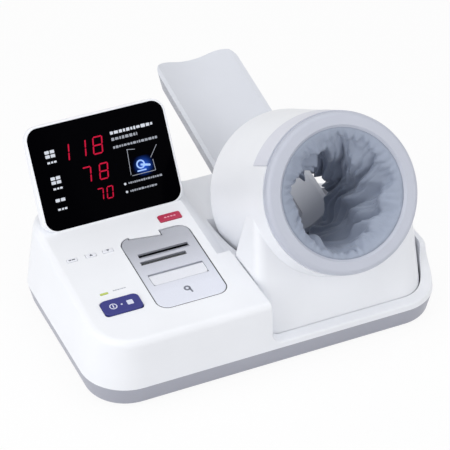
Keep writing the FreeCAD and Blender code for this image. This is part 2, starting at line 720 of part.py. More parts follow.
def printer_frame():
    """Moulded bay under the cover: it cradles the roll and carries the hinge, platen, head and gears."""
    half = bay_half()
    v0 = COVER_V0 + BAY_IN
    v1 = COVER_V1 + BAY_IN
    top = -HOUSING_T - 0.2
    floor = -BAY_DEEP + BAY_T
    shell = slab(half, v0, v1, -BAY_DEEP, top)
    shell = shell.cut(slab(half - BAY_T, v0 + BAY_T, v1 - BAY_T, floor, 5))
    flange = slab(half + 5, v0 - 5, v1 + 4, top - 2, top)
    flange = flange.cut(slab(half, v0, v1, -BAY_DEEP, 5))
    walls = [block(x, x + BAY_T, v0, v1 - 12, floor - 1, PLATEN_W + 4)
             for x in (PRINTER_X - ROLL_L / 2 - FIT - BAY_T, PRINTER_X + ROLL_L / 2 + FIT)]
    cradle = slab(ROLL_L / 2 - 4, ROLL_V - ROLL_R - 2, ROLL_V + ROLL_R + 2, floor - 1, ROLL_W - 8)
    cradle = cradle.cut(bar(ROLL_R + 0.35, COVER_W, ROLL_V, ROLL_W))
    ears = []
    for x in EARS:
        ears.append(rod(EAR_R, x, x + EAR_W, hinge_v(), -HINGE_IN))
        ears.append(block(x, x + EAR_W, hinge_v() - 5.5, hinge_v() - 0.3, floor - 1, -HINGE_IN))
    swing = bar(math.hypot(HINGE_BACK, HINGE_IN) + SWING_GAP, COVER_W, hinge_v(), -HINGE_IN)
    head_shelf = slab(ROLL_L / 2 + 2, PLATEN_V - 15, PLATEN_V - 10.2, PLATEN_W - 14, PLATEN_W - 5)
    notch = block(PRINTER_X - COVER_W, PRINTER_X - half - 0.01, PLATEN_V - 10, PLATEN_V + 10, top - 4, 5)
    body = fuse([shell, flange.cut(notch), cradle, head_shelf] + walls)
    body = fuse([body.cut(swing)] + ears)
    body = body.cut(bar(PIN_R + 0.02, COVER_W, hinge_v(), -HINGE_IN))
    body = body.cut(bar(PLATEN_SHAFT + RUN, COVER_W, PLATEN_V, PLATEN_W))
    v, w = idler_vw()
    return on_panel(fuse([body, rod(GEAR_PIN, GEAR_X - 1.2, PRINTER_X - half + 0.5, v, w)]))


def bay_half():
    """Half the printer bay's outer width."""
    return COVER_W / 2 - BAY_IN


PLATEN_SHAFT = 2.0
GEAR_PIN = 1.5
GEAR_X = PRINTER_X - COVER_W / 2 - 4.5      # outer face of the printer's gears
IDLER_TURN = math.radians(-75.0)            # direction from the platen's gear to the idler
MOTOR_TURN = math.radians(-150.0)           # direction from the idler to the motor's pinion


def idler_vw():
    """The idler sits below and behind the platen's gear."""
    reach = GEAR_M * (PLATEN_TEETH + IDLER_TEETH) / 2
    return PLATEN_V + reach * math.cos(IDLER_TURN), PLATEN_W + reach * math.sin(IDLER_TURN)


def motor_vw():
    reach = GEAR_M * (MOTOR_TEETH + IDLER_TEETH) / 2
    v, w = idler_vw()
    return v + reach * math.cos(MOTOR_TURN), w + reach * math.sin(MOTOR_TURN)


def wheel(teeth, bore, centre, phase):
    """Printer gear: built about Z, then turned to lie about X at centre (v, w)."""
    body = gear(teeth, GEAR_W, bore, phase)
    turn = FreeCAD.Rotation(V(0, 0, 1), 90) * FreeCAD.Rotation(V(1, 0, 0), 90)
    body.Placement = FreeCAD.Placement(V(GEAR_X, centre[0], centre[1]), turn)
    return on_panel(body)


def printer_gears():
    platen_phase = 0.0
    idler_phase = mesh_phase_pair(platen_phase, PLATEN_TEETH, IDLER_TEETH, IDLER_TURN)
    motor_phase = mesh_phase_pair(idler_phase, IDLER_TEETH, MOTOR_TEETH, MOTOR_TURN)
    return {
        "platen_gear": wheel(PLATEN_TEETH, PLATEN_SHAFT, (PLATEN_V, PLATEN_W), platen_phase),
        "idler_gear": wheel(IDLER_TEETH, GEAR_PIN + RUN, idler_vw(), idler_phase),
        "motor_pinion": wheel(MOTOR_TEETH, 1.0, motor_vw(), motor_phase),
    }


def mesh_phase_pair(phase, teeth, next_teeth, direction):
    """Phase of the next gear, whose centre lies in a direction from this one's, so that their teeth mesh."""
    turns = (direction - phase) / (2 * math.pi / teeth)
    into_tooth = turns - math.floor(turns)
    return direction + math.pi + (0.5 + into_tooth) * 2 * math.pi / next_teeth


def platen_roller():
    shaft = rod(PLATEN_SHAFT, GEAR_X, PRINTER_X + COVER_W / 2 - 2, PLATEN_V, PLATEN_W)
    return on_panel(fuse([bar(PLATEN_R, PLATEN_L / 2, PLATEN_V, PLATEN_W), shaft]))


def thermal_head():
    """Head block with its heating edge against the paper on the platen."""
    front = PLATEN_V - PLATEN_R - PAPER_T - 0.1
    body = slab(PLATEN_L / 2, front - 2.5, front, PLATEN_W - 6, PLATEN_W + 4)
    sink = slab(PLATEN_L / 2 - 1.5, front - 4.0, front - 2.5, PLATEN_W - 14, PLATEN_W + 2)
    return on_panel(fuse([body, sink]))


def printer_motor():
    v, w = motor_vw()
    left = PRINTER_X - bay_half() + BAY_T + FIT
    right = PRINTER_X - ROLL_L / 2 - FIT - BAY_T - FIT
    return on_panel(rod(7.5, left, right, v, w))


def paper_roll():
    roll = bar(ROLL_R, ROLL_L / 2, ROLL_V, ROLL_W)
    return on_panel(roll.cut(bar(CORE_R, ROLL_L, ROLL_V, ROLL_W)))


# ================================================================ boards and power
INLET_X = -180.0
INLET_W = 27.0
INLET_H = 20.0
SWITCH_X = -140.0
SWITCH_W = 13.0
SWITCH_H = 19.0
REAR_Z = 60.0


def power_inlet():
    flange = prism(rect(INLET_W + 22, INLET_H + 6, 3, 0, 0, 0), 2)
    body = prism(rect(INLET_W, INLET_H, 2, 0, 0, -18), 19)
    shell = fuse([flange, body]).cut(prism(rect(INLET_W - 5, INLET_H - 5, 3, 0, 0, -13), 20))
    prongs = [block(x - 2, x + 2, y - 1, y + 1, -13.5, -1) for x, y in ((-7, -2), (7, -2), (0, 3))]
    return on_rear(fuse([shell] + prongs), INLET_X, REAR_Z)


def power_switch_body():
    flange = prism(rect(SWITCH_W + 4, SWITCH_H + 4, 1.5, 0, 0, 0), 1.5)
    body = prism(rect(SWITCH_W, SWITCH_H, 1, 0, 0, -14), 14.5)
    pocket = prism(rect(SWITCH_W - 3, SWITCH_H - 3, 0.5, 0, 0, -8), 12)
    return on_rear(fuse([flange, body]).cut(pocket), SWITCH_X, REAR_Z)


def power_rocker():
    """Rocker with two faces that meet over its pivot."""
    half_w = (SWITCH_W - 3) / 2 - 0.3
    half_h = (SWITCH_H - 3) / 2 - 0.9
    profile = [(-half_h, 3.6), (0, 1.6), (half_h, 1.6), (half_h - 3, -3.5), (-half_h + 3, -3.5)]
    points = [V(-half_w, y, z) for y, z in profile]
    body = Part.Face(Part.makePolygon(points + points[:1])).extrude(V(2 * half_w, 0, 0))
    return on_rear(body, SWITCH_X, REAR_Z)


SUPPLY_IN = 97.0         # the supply's front from the base's rear


def main_board():
    floor = FOOT_H + TRAY_T
    x0, x1 = -BASE_W / 2 + 34, PRINTER_X + COVER_W / 2
    front, rear = SPEAKER_AT[1] + SPEAKER_R + 8, BASE_D - SUPPLY_IN - 14
    middle = (front + rear) / 2 - 7
    board = block(x0, x1, front, rear, floor + 6, floor + 6 + PCB_T)
    chips = [block(x0 + 20 + 34 * i, x0 + 38 + 34 * i, middle - 9, middle + 9, floor + 6 + PCB_T,
                   floor + 9 + PCB_T) for i in range(3)]
    legs = [post(2.5, x, y, floor, floor + 6.1) for x in (x0 + 5, x1 - 5) for y in (front + 5, rear - 5)]
    return fuse([board] + chips + legs)


def power_supply():
    floor = FOOT_H + TRAY_T
    front = BASE_D - SUPPLY_IN
    box = block(INLET_X - 14, INLET_X + 72, front, front + 56, floor, floor + 30)
    vents = [block(x - 6, x, front + 9, front + 47, floor + 28.5, floor + 31)
             for x in (INLET_X + 12 * i for i in range(6))]
    return box.cut(Part.makeCompound(vents))


def speaker():
    floor = FOOT_H + TRAY_T
    x, y = SPEAKER_AT
    rim = post(SPEAKER_R, x, y, floor, floor + 4)
    cone = Part.makeCone(18, 9, 8, V(x, y, floor + 4))
    magnet = post(11, x, y, floor + 12, floor + 18)
    hollow = Part.makeCone(17.5, 8, 9, V(x, y, floor))
    return fuse([rim, cone, magnet]).cut(hollow)


# ================================================================ tilt mechanism
PLATE_IN = TUBE_OUT + 0.2
PLATE_T = 3.0
RING_T = 2.4
BRACKET_IN = PLATE_IN + PLATE_T + RING_T + 2 * FIT
BRACKET_T = 6.0
BRACKET_W = 30.0


def tilt_bracket(side):
    """Bracket on the tray: it holds the axle beside the frame's plate."""
    floor = FOOT_H + TRAY_T
    x0 = ARM_X + side * (BRACKET_IN + BRACKET_T / 2)
    front, back = PIVOT_Y - BRACKET_W / 2, PIVOT_Y + BRACKET_W / 2
    wall = block(x0 - BRACKET_T / 2, x0 + BRACKET_T / 2, front, back, floor, PIVOT_Z)
    top = rod(13.0, x0 - BRACKET_T / 2, x0 + BRACKET_T / 2, PIVOT_Y, PIVOT_Z)
    toe = block(min(x0, x0 + side * 9), max(x0, x0 + side * 9), front, back, floor, floor + 4)
    body = fuse([wall, top, toe])
    return body.cut(rod(AXLE_R + 0.02, ARM_X - 120, ARM_X + 120, PIVOT_Y, PIVOT_Z))


def tilt_axle():
    reach = BRACKET_IN + BRACKET_T + 3
    axle = rod(AXLE_R, ARM_X - reach, ARM_X + reach, PIVOT_Y, PIVOT_Z)
    groove = [rod(AXLE_R + 1, x, x + 1, PIVOT_Y, PIVOT_Z).cut(rod(AXLE_R - 1, x - 1, x + 2, PIVOT_Y, PIVOT_Z))
              for x in (ARM_X - reach + 1.2, ARM_X + reach - 2.2)]
    return axle.cut(Part.makeCompound(groove))


def friction_rings():
    """Disc between each bracket and the frame's plate: it holds the arm unit where it is put."""
    inside = PLATE_IN + PLATE_T + FIT
    solids = []
    for side in (-1, 1):
        x0 = ARM_X + side * (inside + RING_T / 2)
        disc = rod(12.0, x0 - RING_T / 2, x0 + RING_T / 2, PIVOT_Y, PIVOT_Z)
        solids.append(disc.cut(rod(AXLE_R + 0.02, x0 - 9, x0 + 9, PIVOT_Y, PIVOT_Z)))
    return Part.makeCompound(solids)


def bush(side):
    inside = ARM_X + side * (PLATE_IN - 5)
    outside = ARM_X + side * (PLATE_IN + PLATE_T)
    x0, x1 = min(inside, outside), max(inside, outside)
    body = rod(10.0, x0, x1, PIVOT_Y, PIVOT_Z)
    return body.cut(rod(AXLE_R + RUN, x0 - 1, x1 + 1, PIVOT_Y, PIVOT_Z))


def tilt_bushes():
    return Part.makeCompound([bush(-1), bush(1)])


def tunnel_point(along, down):
    """(y, z) of a point in the arm's middle plane."""
    tilt = math.radians(ARM_TILT)
    return (RING_Y + along * math.cos(tilt) - down * math.sin(tilt),
            RING_Z - along * math.sin(tilt) - down * math.cos(tilt))


def tilt_frame():
    """Steel frame: a plate at each side of the tunnel tube, and a floor plate that carries the pump."""
    y1, z1 = tunnel_point(48, 0)
    y2, z2 = tunnel_point(120, 0)
    side = []
    for s in (-1, 1):
        x0 = ARM_X + s * PLATE_IN
        corners = [V(x0, 34, 20), V(x0, PIVOT_Y + 17, 20), V(x0, PIVOT_Y + 17, z2 - 26), V(x0, y2, z2),
                   V(x0, y1, z1), V(x0, y1 - 8, z1 - 34), V(x0, 34, 46)]
        plate = Part.Face(Part.makePolygon(corners + corners[:1])).extrude(V(s * PLATE_T, 0, 0))
        side.append(plate)
    floor = block(ARM_X - PLATE_IN - 1, ARM_X + PLATE_IN + 1, 32, PIVOT_Y - 23, 20, 23)
    body = fuse([floor] + side)
    return body.cut(rod(10.0, ARM_X - 120, ARM_X + 120, PIVOT_Y, PIVOT_Z)
                    .common(block(ARM_X - 95, ARM_X + 95, 0, 200, 0, 100)))


# ================================================================ arm unit covers
def drum_radius(along):
    return DRUM_R0 + (DRUM_R1 - DRUM_R0) * (along - RING_DEEP) / (DRUM_END - RING_DEEP)


def drum_solid(inset):
    start = RING_DEEP if inset == 0 else 0.0
    end = DRUM_END - inset
    body = Part.makeCone(drum_radius(start) - inset, drum_radius(end) - inset, end - start, V(0, 0, start))
    rear = [e for e in body.Edges if e.BoundBox.ZMin > end - 0.01]
    body = body.makeFillet(DRUM_EDGE_R - inset, rear)
    return in_arm(body)


def pedestal_wire(level, inset):
    """Wire of one pedestal section, sloped from its front line to its back line.

    level holds front y and z, back y and z, left x at the front and back, right x at the front and back,
    and the two front corners' radii.
    """
    fy, fz, by, bz, lf, lb, rf, rb, r1, r2 = level
    fy, by = fy + inset, by - inset
    points = [(lf + inset, fy, fz), (rf - inset, fy, fz), (rb - inset, by, bz), (lb + inset, by, bz)]
    flat = outline([(x, y) for x, y, z in points], [r1 - inset, r2 - inset, 6 - inset, 6 - inset], 0)
    slope = (bz - fz) / (by - fy)
    matrix = FreeCAD.Matrix()
    matrix.A32 = slope
    matrix.A34 = fz - slope * fy
    return flat.transformGeometry(matrix)


def pedestal_levels():
    face = math.tan(PED_FACE_LEAN)
    tilt = math.tan(math.radians(ARM_TILT))
    right = ARM_X + PED_HALF
    # the leaning face meets the plane through the tunnel's axis here
    top_z = (RING_Z + tilt * (RING_Y - LIP_W + face * LIP_Z)) / (1 + tilt * face)
    top_y = LIP_W + face * (top_z - LIP_Z)
    back_z = RING_Z - tilt * (PED_BACK_Y - RING_Y)
    along = (top_y - RING_Y) / math.cos(math.radians(ARM_TILT))
    along_back = (PED_BACK_Y - RING_Y) / math.cos(math.radians(ARM_TILT))
    r_front, r_back = drum_radius(along) - 1.0, drum_radius(along_back) - 1.0
    shoulder_y = LIP_W + face * (PED_SHOULDER - LIP_Z)
    low = (LIP_W + PED_TUCK, PED_BOTTOM, PED_BACK_Y, PED_BOTTOM, left_edge(LIP_W), left_edge(PED_BACK_Y),
           right, right, PED_LEFT_R, PED_RIGHT_R)
    lip = (LIP_W, LIP_Z, PED_BACK_Y, LIP_Z) + low[4:]
    mid = (shoulder_y, PED_SHOULDER, PED_BACK_Y, PED_SHOULDER, left_edge(shoulder_y), left_edge(PED_BACK_Y),
           right, right, PED_LEFT_R, PED_RIGHT_R * 0.7)
    top = (top_y, top_z, PED_BACK_Y, back_z, ARM_X - r_front, ARM_X - r_back, ARM_X + r_front, ARM_X + r_back,
           PED_LEFT_R * 0.6, PED_LEFT_R * 0.6)
    return low, lip, mid, top


def pedestal_solid(inset):
    wires = [pedestal_wire(level, inset) for level in pedestal_levels()]
    return Part.makeLoft(wires, True, True)


def arm_outside(inset):
    body = drum_solid(inset).fuse(pedestal_solid(inset))
    return body.cut(block(-400, 400, -200, 600, -200, PED_BOTTOM - (1 if inset else 0)))


def hood_sector(clear):
    """Region of the hood: the front band of the drum, over the top only."""
    deep = HOOD_DEEP + clear
    span = HOOD_SPAN + math.degrees(clear / DRUM_R0)
    ring = Part.makeCylinder(140, deep, V(0, 0, 0), V(0, 0, 1), 2 * span)
    ring.rotate(V(0, 0, 0), V(0, 0, 1), -90 - span)
    return in_arm(ring.cut(Part.makeCylinder(60, 200, V(0, 0, -20))))


def covers():
    shell = arm_outside(0).cut(arm_outside(COVER_T))
    shell = shell.cut(in_arm(Part.makeCylinder(TUBE_OUT + 0.2, 400, V(0, 0, -50))))
    bottom = block(ARM_X - 100, ARM_X + 100, LIP_W + COVER_T, PED_BACK_Y - COVER_T, -10, PED_BOTTOM + 6)
    shell = shell.cut(hood_sector(0.4)).cut(bottom)
    upper_half = in_arm(block(-200, 200, -300, 0, -50, 400))
    upper = shell.common(upper_half)
    lower = shell.cut(upper_half)
    return biggest(upper), biggest(lower)


def biggest(shape):
    return max(shape.Solids, key=lambda s: s.Volume)


def front_ring():
    face = Part.makeCylinder(RING_R, RING_DEEP, V(0, 0, 0))
    front = [e for e in face.Edges if e.BoundBox.ZMax < 0.01]
    face = face.makeFillet(RING_EDGE_R, front)
    bore = Part.makeCylinder(RING_BORE, 100, V(0, 0, -10))
    lead = Part.makeCone(RING_BORE + 5, RING_BORE, 5, V(0, 0, 0))
    hollow = Part.makeCylinder(RING_R - 4, RING_DEEP, V(0, 0, 4))
    hollow = hollow.cut(Part.makeCylinder(RING_BORE + 4, 50, V(0, 0, 0)))
    ring = in_arm(face.cut(bore).cut(lead).cut(hollow))
    outer = Part.makeCone(drum_radius(RING_DEEP - 2) + HOOD_PROUD, drum_radius(HOOD_DEEP) + HOOD_PROUD,
                          HOOD_DEEP - RING_DEEP + 2, V(0, 0, RING_DEEP - 2))
    inner = Part.makeCone(drum_radius(RING_DEEP - 2) - COVER_T, drum_radius(HOOD_DEEP + 1) - COVER_T,
                          HOOD_DEEP - RING_DEEP + 3, V(0, 0, RING_DEEP - 2))
    hood = in_arm(outer.cut(inner)).common(hood_sector(0))
    return fuse([ring, hood])


def rear_ring():
    body = Part.makeCylinder(REAR_RING_R, REAR_RING_T, V(0, 0, DRUM_END)).fuse(
        Part.makeCylinder(TUBE_OUT, DRUM_END - TUBE_END, V(0, 0, TUBE_END))).removeSplitter()
    body = body.cut(Part.makeCylinder(EXIT_BORE + 4, 60, V(0, 0, TUBE_END - 10)))
    lip = Part.makeCylinder(TUBE_OUT - 1, 3, V(0, 0, TUBE_END))
    lip = lip.cut(Part.makeCylinder(EXIT_BORE + 3, 30, V(0, 0, TUBE_END - 10)))
    return in_arm(fuse([body, lip])).cut(block(-400, 400, -200, 600, -200, PED_BOTTOM))


def tunnel_tube():
    tube = Part.makeCylinder(TUBE_OUT, TUBE_END - RING_DEEP, V(0, 0, RING_DEEP))
    tube = tube.cut(Part.makeCylinder(TUBE_IN, 400, V(0, 0, -50)))
    return in_arm(tube.cut(tail_slot(1.5))).cut(hose_rod(HOSE_R + 1, 20))


# ================================================================ cuff and winder
SPOOL_AT = 94.0         # below the tunnel's axis
SPOOL_R = 6.0
SPOOL_Z0 = 68.0         # along the tunnel
SPOOL_Z1 = 112.0
SPOOL_SHAFT = 3.0
SPOOL_TEETH = 20
WIND_TEETH = 12
WIND_X = GEAR_M * (SPOOL_TEETH + WIND_TEETH) / 2
WIND_R = 5.5
END_PLATE = 121.0
WIND_SHAFT = 1.2
PUMP_Y = 47.0
PUMP_R = 14.0
PUMP_Z = 37.3
PUMP_HEAD = 4.0
HOSE_X = -30.0
HOSE_R = 2.6
HOSE_ALONG = 60.0
BLADDER_IN = 72.6
BLADDER_OUT = 78.0
SLEEVE_T = 2.0
SLEEVE = (              # along the tunnel, half width, half height, middle below the axis
    (3.0, 75.4, 75.4, 0.0), (14.0, 71.5, 71.0, 0.0), (36.0, 61.0, 64.0, 5.0), (70.0, 51.0, 56.0, 9.5),
    (105.0, 44.0, 47.0, 13.0), (140.0, 41.0, 41.0, 14.0), (157.0, 50.0, 49.0, 7.0), (169.0, 68.6, 68.6, 0.0))


def tail_slot(clear):
    """Slot through which the band's tail reaches the spool (arm frame)."""
    start, end = SPOOL_Z0 + 2 - clear, SPOOL_Z1 - 2 + clear
    return block(-1.0 - clear, 1.0 + clear, 70, SPOOL_AT - SPOOL_R - 0.4, start, end)


def hose_line():
    """Ends of the hose: on the pump's head, and just short of the bladder."""
    down = math.sqrt((BLADDER_OUT + 1.7) ** 2 - HOSE_X ** 2)
    y, z = tunnel_point(HOSE_ALONG, down)
    return V(ARM_X + HOSE_X, PUMP_Y + 3, PUMP_Z + PUMP_R + PUMP_HEAD + 0.5), V(ARM_X + HOSE_X, y, z)


def hose_rod(radius, past=0.0):
    start, end = hose_line()
    run = end - start
    return Part.makeCylinder(radius, run.Length + past, start, run)


def cuff_curler():
    """Sprung band round the bladder, with the tail that the spool winds up."""
    core = Part.makeCylinder(BLADDER_OUT + FIT, 400, V(0, 0, -50))
    band = Part.makeCylinder(TUBE_IN - 0.5, 118, V(0, 0, 34))
    band = band.cut(core).cut(block(-9, 0, 60, 100, 0, 200))
    return in_arm(fuse([band, tail_slot(0).cut(core)])).cut(hose_rod(HOSE_R + 1, 20))


def air_bladder():
    ring = Part.makeCylinder(BLADDER_OUT, 110, V(0, 0, 38))
    ring = ring.cut(Part.makeCylinder(BLADDER_IN, 400, V(0, 0, -50)))
    return in_arm(ring.cut(block(-8, 8, 50, 100, 0, 200)))


def sleeve_section(along, wide, high, sag):
    """Closed curve round the tunnel."""
    turns = [2 * math.pi * i / 24 for i in range(24)]
    curve = Part.BSplineCurve()
    points = [V(wide * math.cos(t), sag + high * math.sin(t), along) for t in turns]
    curve.interpolate(points, PeriodicFlag=True)
    return Part.Wire(curve.toShape())


def cloth_sleeve():
    """Closed sleeve solid: wide at the ring, it sags to a waist and opens to the exit."""
    outer = Part.makeLoft([sleeve_section(*row) for row in SLEEVE], True)
    thin = [sleeve_section(z, w - SLEEVE_T, h - SLEEVE_T, sag) for z, w, h, sag in SLEEVE]
    inner = Part.makeLoft(thin, True)
    return in_arm(outer.cut(inner))


def winder_bracket():
    """End plates for the spool's shaft, joined by a bar beside it; the rear plate carries the motor."""
    low = TUBE_OUT + FIT
    side = WIND_X + GEAR_M * WIND_TEETH / 2 + 2.0
    plates = [block(-9, side + 3, low, SPOOL_AT + 7, SPOOL_Z0 - 4, SPOOL_Z0 - 1),
              block(-9, side + 3, low, SPOOL_AT + 7, END_PLATE - 2, END_PLATE)]
    link = block(side, side + 3, low, SPOOL_AT + 7, SPOOL_Z0 - 4, END_PLATE)
    body = fuse(plates + [link])
    body = body.cut(Part.makeCylinder(SPOOL_SHAFT + RUN, 300, V(0, SPOOL_AT, 0)))
    return in_arm(body.cut(Part.makeCylinder(2.8, 300, V(WIND_X, SPOOL_AT, 0))))


def winding_spool():
    drum = Part.makeCylinder(SPOOL_R, SPOOL_Z1 - SPOOL_Z0, V(0, SPOOL_AT, SPOOL_Z0))
    flanges = [Part.makeCylinder(SPOOL_R + 2.5, 1.5, V(0, SPOOL_AT, z)) for z in (SPOOL_Z0, SPOOL_Z1 - 1.5)]
    shaft = Part.makeCylinder(SPOOL_SHAFT, END_PLATE - SPOOL_Z0 + 4, V(0, SPOOL_AT, SPOOL_Z0 - 4))
    return in_arm(fuse([drum, shaft] + flanges))


def winder_gears():
    big = gear(SPOOL_TEETH, GEAR_W, SPOOL_SHAFT)
    small = gear(WIND_TEETH, GEAR_W, WIND_SHAFT, mesh_phase_pair(0.0, SPOOL_TEETH, WIND_TEETH, 0.0))
    big.translate(V(0, SPOOL_AT, SPOOL_Z1 + 1))
    small.translate(V(WIND_X, SPOOL_AT, SPOOL_Z1 + 1))
    shaft = Part.makeCylinder(WIND_SHAFT, END_PLATE + 6 - SPOOL_Z1 - 1, V(WIND_X, SPOOL_AT, SPOOL_Z1 + 1))
    return in_arm(big), in_arm(fuse([small, shaft]))


def winding_motor():
    can = Part.makeCylinder(WIND_R, 26, V(WIND_X, SPOOL_AT, END_PLATE + 0.1))
    neck = Part.makeCylinder(2.7, 2.0, V(WIND_X, SPOOL_AT, END_PLATE - 1.8))
    bore = Part.makeCylinder(WIND_SHAFT + RUN, 9.0, V(WIND_X, SPOOL_AT, END_PLATE - 2))
    return in_arm(fuse([can, neck]).cut(bore))


def air_pump():
    body = rod(PUMP_R, ARM_X - 56, ARM_X - 14, PUMP_Y, PUMP_Z)
    head = block(ARM_X - 42, ARM_X - 18, PUMP_Y - 10, PUMP_Y + 10, PUMP_Z, PUMP_Z + PUMP_R + PUMP_HEAD)
    return fuse([body, head])


def exhaust_valve():
    foot = PUMP_Z - PUMP_R
    body = block(ARM_X + 14, ARM_X + 38, PUMP_Y - 9, PUMP_Y + 9, foot, foot + 20)
    return fuse([body, post(3, ARM_X + 26, PUMP_Y, foot + 19, foot + 28)])


def air_hose():
    """Straight hose from the pump's head through the tube to the bladder."""
    return hose_rod(HOSE_R)


# ================================================================ armrest
def rest_body(grow, depth, top=0.0):
    length = REST_LEN + REST_ROOT
    middle = (REST_LEN - REST_ROOT) / 2
    share = REST_DRAFT / REST_DEEP
    wires = []
    for level in (top, -depth):
        inset = -level * share - grow
        half = REST_HALF - inset
        front, back = middle - length / 2, middle + length / 2 - inset
        corners = [(-half, front), (half, front), (half, back), (-half, back)]
        wires.append(outline(corners, [4.0, 4.0, REST_TIP_R - inset, REST_TIP_R - inset], level))
    return Part.makeLoft(wires, True, True)


def rest_trough(lift):
    """Concave trough along the armrest."""
    half = REST_HALF - REST_RIM
    radius = (half ** 2 + REST_DIP ** 2) / (2 * REST_DIP)
    return Part.makeCylinder(radius - lift, 800, V(0, -500, radius - REST_DIP), V(0, 1, 0))


def behind_drum(shape):
    """Trim a piece to the plane of the drum's rear face."""
    return shape.cut(in_arm(block(-400, 400, -400, 400, -400, DRUM_END + 3.2)))


def elbow_hole(clear, z0, z1):
    return prism(rect(ELBOW_W + 2 * clear, ELBOW_L + 2 * clear, 6 + clear, 0, ELBOW_AT, z0), z1 - z0)


def arm_rest():
    """Upper shell: the trough that the forearm lies in."""
    solid = rest_body(0, REST_DIP + REST_T)
    upper = solid.cut(rest_trough(0))
    under = rest_body(-REST_T, REST_DEEP, -REST_T * 0.6).cut(rest_trough(-REST_T))
    shell = upper.cut(under).cut(elbow_hole(BUTTON_GAP, -40, 10))
    return behind_drum(on_rest(biggest(shell)))


def arm_rest_base():
    solid = rest_body(0, REST_DEEP).cut(block(-200, 200, -400, 400, -REST_DIP - REST_T, 50))
    inner = rest_body(-REST_T, REST_DEEP - REST_T)
    return behind_drum(on_rest(solid.cut(inner)))


def elbow_button():
    """Padded plate in the trough that the elbow presses down."""
    under = -REST_DIP - 5.0
    plate = elbow_hole(0, under, 0).cut(rest_trough(0))
    foot = -REST_DEEP + REST_T + ELBOW_TRAVEL + FIT
    stem = Part.makeCylinder(5.0, under - foot, V(0, ELBOW_AT, foot))
    return on_rest(fuse([plate, stem]))


def base_nodes():
    return {
        "base_tray": base_tray(),
        "upper_housing": upper_housing(),
        "rubber_feet": feet(),
        "tray_screws": tray_screws(),
        "main_board": main_board(),
        "power_supply": power_supply(),
        "power_inlet": power_inlet(),
        "power_switch_body": power_switch_body(),
        "power_rocker": power_rocker(),
        "speaker": speaker(),
    }


def display_nodes():
    return {
        "display_bezel": display_bezel(),
        "display_back": display_back(),
        "display_lens": display_lens(),
        "display_board": display_board(),
        "digit_modules": digit_modules(),
        "guide_light": guide_light(),
    }


def panel_nodes():
    nodes = {
        "start_stop_button": start_stop_button(),
        "emergency_button": emergency_button(),
        "status_led": status_led(),
        "panel_board": panel_board(),
        "tact_switches": tact_switches(),
    }
    for name, x in KEYS.items():
        nodes[name] = small_key(x)
    return nodes


def printer_nodes():
    nodes = {
        "printer_cover": printer_cover(),
        "cover_latch": cover_latch(),
        "cover_hinge_pin": cover_hinge_pin(),
        "printer_frame": printer_frame(),
        "platen_roller": platen_roller(),
        "thermal_head": thermal_head(),
        "printer_motor": printer_motor(),
        "paper_roll": paper_roll(),
    }
    nodes.update(printer_gears())
    return nodes


def tilt_nodes():
    return {
        "tilt_bracket_left": tilt_bracket(-1),
        "tilt_bracket_right": tilt_bracket(1),
        "tilt_axle": tilt_axle(),
        "friction_rings": friction_rings(),
        "tilt_bushes": tilt_bushes(),
        "tilt_frame": tilt_frame(),
    }


def arm_nodes():
    upper, lower = covers()
    spool_gear, winding_pinion = winder_gears()
    return {
        "drum_cover": upper,
        "pedestal_cover": lower,
        "front_ring": front_ring(),
        "rear_ring": rear_ring(),
        "tunnel_tube": tunnel_tube(),
        "cuff_curler": cuff_curler(),
        "air_bladder": air_bladder(),
        "cloth_sleeve": cloth_sleeve(),
        "winder_bracket": winder_bracket(),
        "winding_spool": winding_spool(),
        "spool_gear": spool_gear,
        "winding_pinion": winding_pinion,
        "winding_motor": winding_motor(),
        "air_pump": air_pump(),
        "exhaust_valve": exhaust_valve(),
        "air_hose": air_hose(),
        "arm_rest": arm_rest(),
        "arm_rest_base": arm_rest_base(),
        "elbow_button": elbow_button(),
    }


def main():
    os.makedirs("parts", exist_ok=True)
    nodes = {}
    for group in (base_nodes, display_nodes, panel_nodes, printer_nodes, tilt_nodes, arm_nodes):
        nodes.update(group())
    save_all(nodes)


if __name__ == "__main__":
    main()
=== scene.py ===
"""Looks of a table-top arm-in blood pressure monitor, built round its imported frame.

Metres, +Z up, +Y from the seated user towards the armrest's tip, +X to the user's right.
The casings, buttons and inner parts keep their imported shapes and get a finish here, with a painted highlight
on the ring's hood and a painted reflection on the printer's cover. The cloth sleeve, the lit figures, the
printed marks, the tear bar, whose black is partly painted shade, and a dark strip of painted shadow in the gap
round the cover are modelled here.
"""

import json
import logging
import math
import random
from abc import ABC, abstractmethod
from dataclasses import dataclass, field
from enum import Enum
from typing import ClassVar

import bmesh
import bpy
from mathutils import Matrix, Vector, noise


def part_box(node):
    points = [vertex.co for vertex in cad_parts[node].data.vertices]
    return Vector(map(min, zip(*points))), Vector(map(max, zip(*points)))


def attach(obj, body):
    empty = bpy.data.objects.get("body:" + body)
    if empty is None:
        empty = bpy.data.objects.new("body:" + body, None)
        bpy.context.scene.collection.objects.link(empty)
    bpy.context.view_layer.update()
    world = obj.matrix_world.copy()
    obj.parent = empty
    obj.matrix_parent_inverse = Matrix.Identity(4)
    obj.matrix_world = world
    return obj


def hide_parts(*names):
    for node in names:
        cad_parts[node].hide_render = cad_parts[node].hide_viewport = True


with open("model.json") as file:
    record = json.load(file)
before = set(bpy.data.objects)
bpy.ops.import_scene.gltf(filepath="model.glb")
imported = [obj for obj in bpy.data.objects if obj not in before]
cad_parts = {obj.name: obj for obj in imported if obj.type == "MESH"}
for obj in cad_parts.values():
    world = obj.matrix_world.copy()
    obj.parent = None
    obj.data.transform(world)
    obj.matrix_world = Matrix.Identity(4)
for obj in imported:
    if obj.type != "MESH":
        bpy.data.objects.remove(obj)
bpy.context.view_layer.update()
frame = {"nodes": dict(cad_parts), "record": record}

MM = 0.001
Rgba = tuple[float, float, float, float]
Tree, Node, Socket = bpy.types.NodeTree, bpy.types.Node, bpy.types.NodeSocket
Mesh, Vert, Face = bmesh.types.BMesh, bmesh.types.BMVert, bmesh.types.BMFace
log = logging.getLogger("monitor")


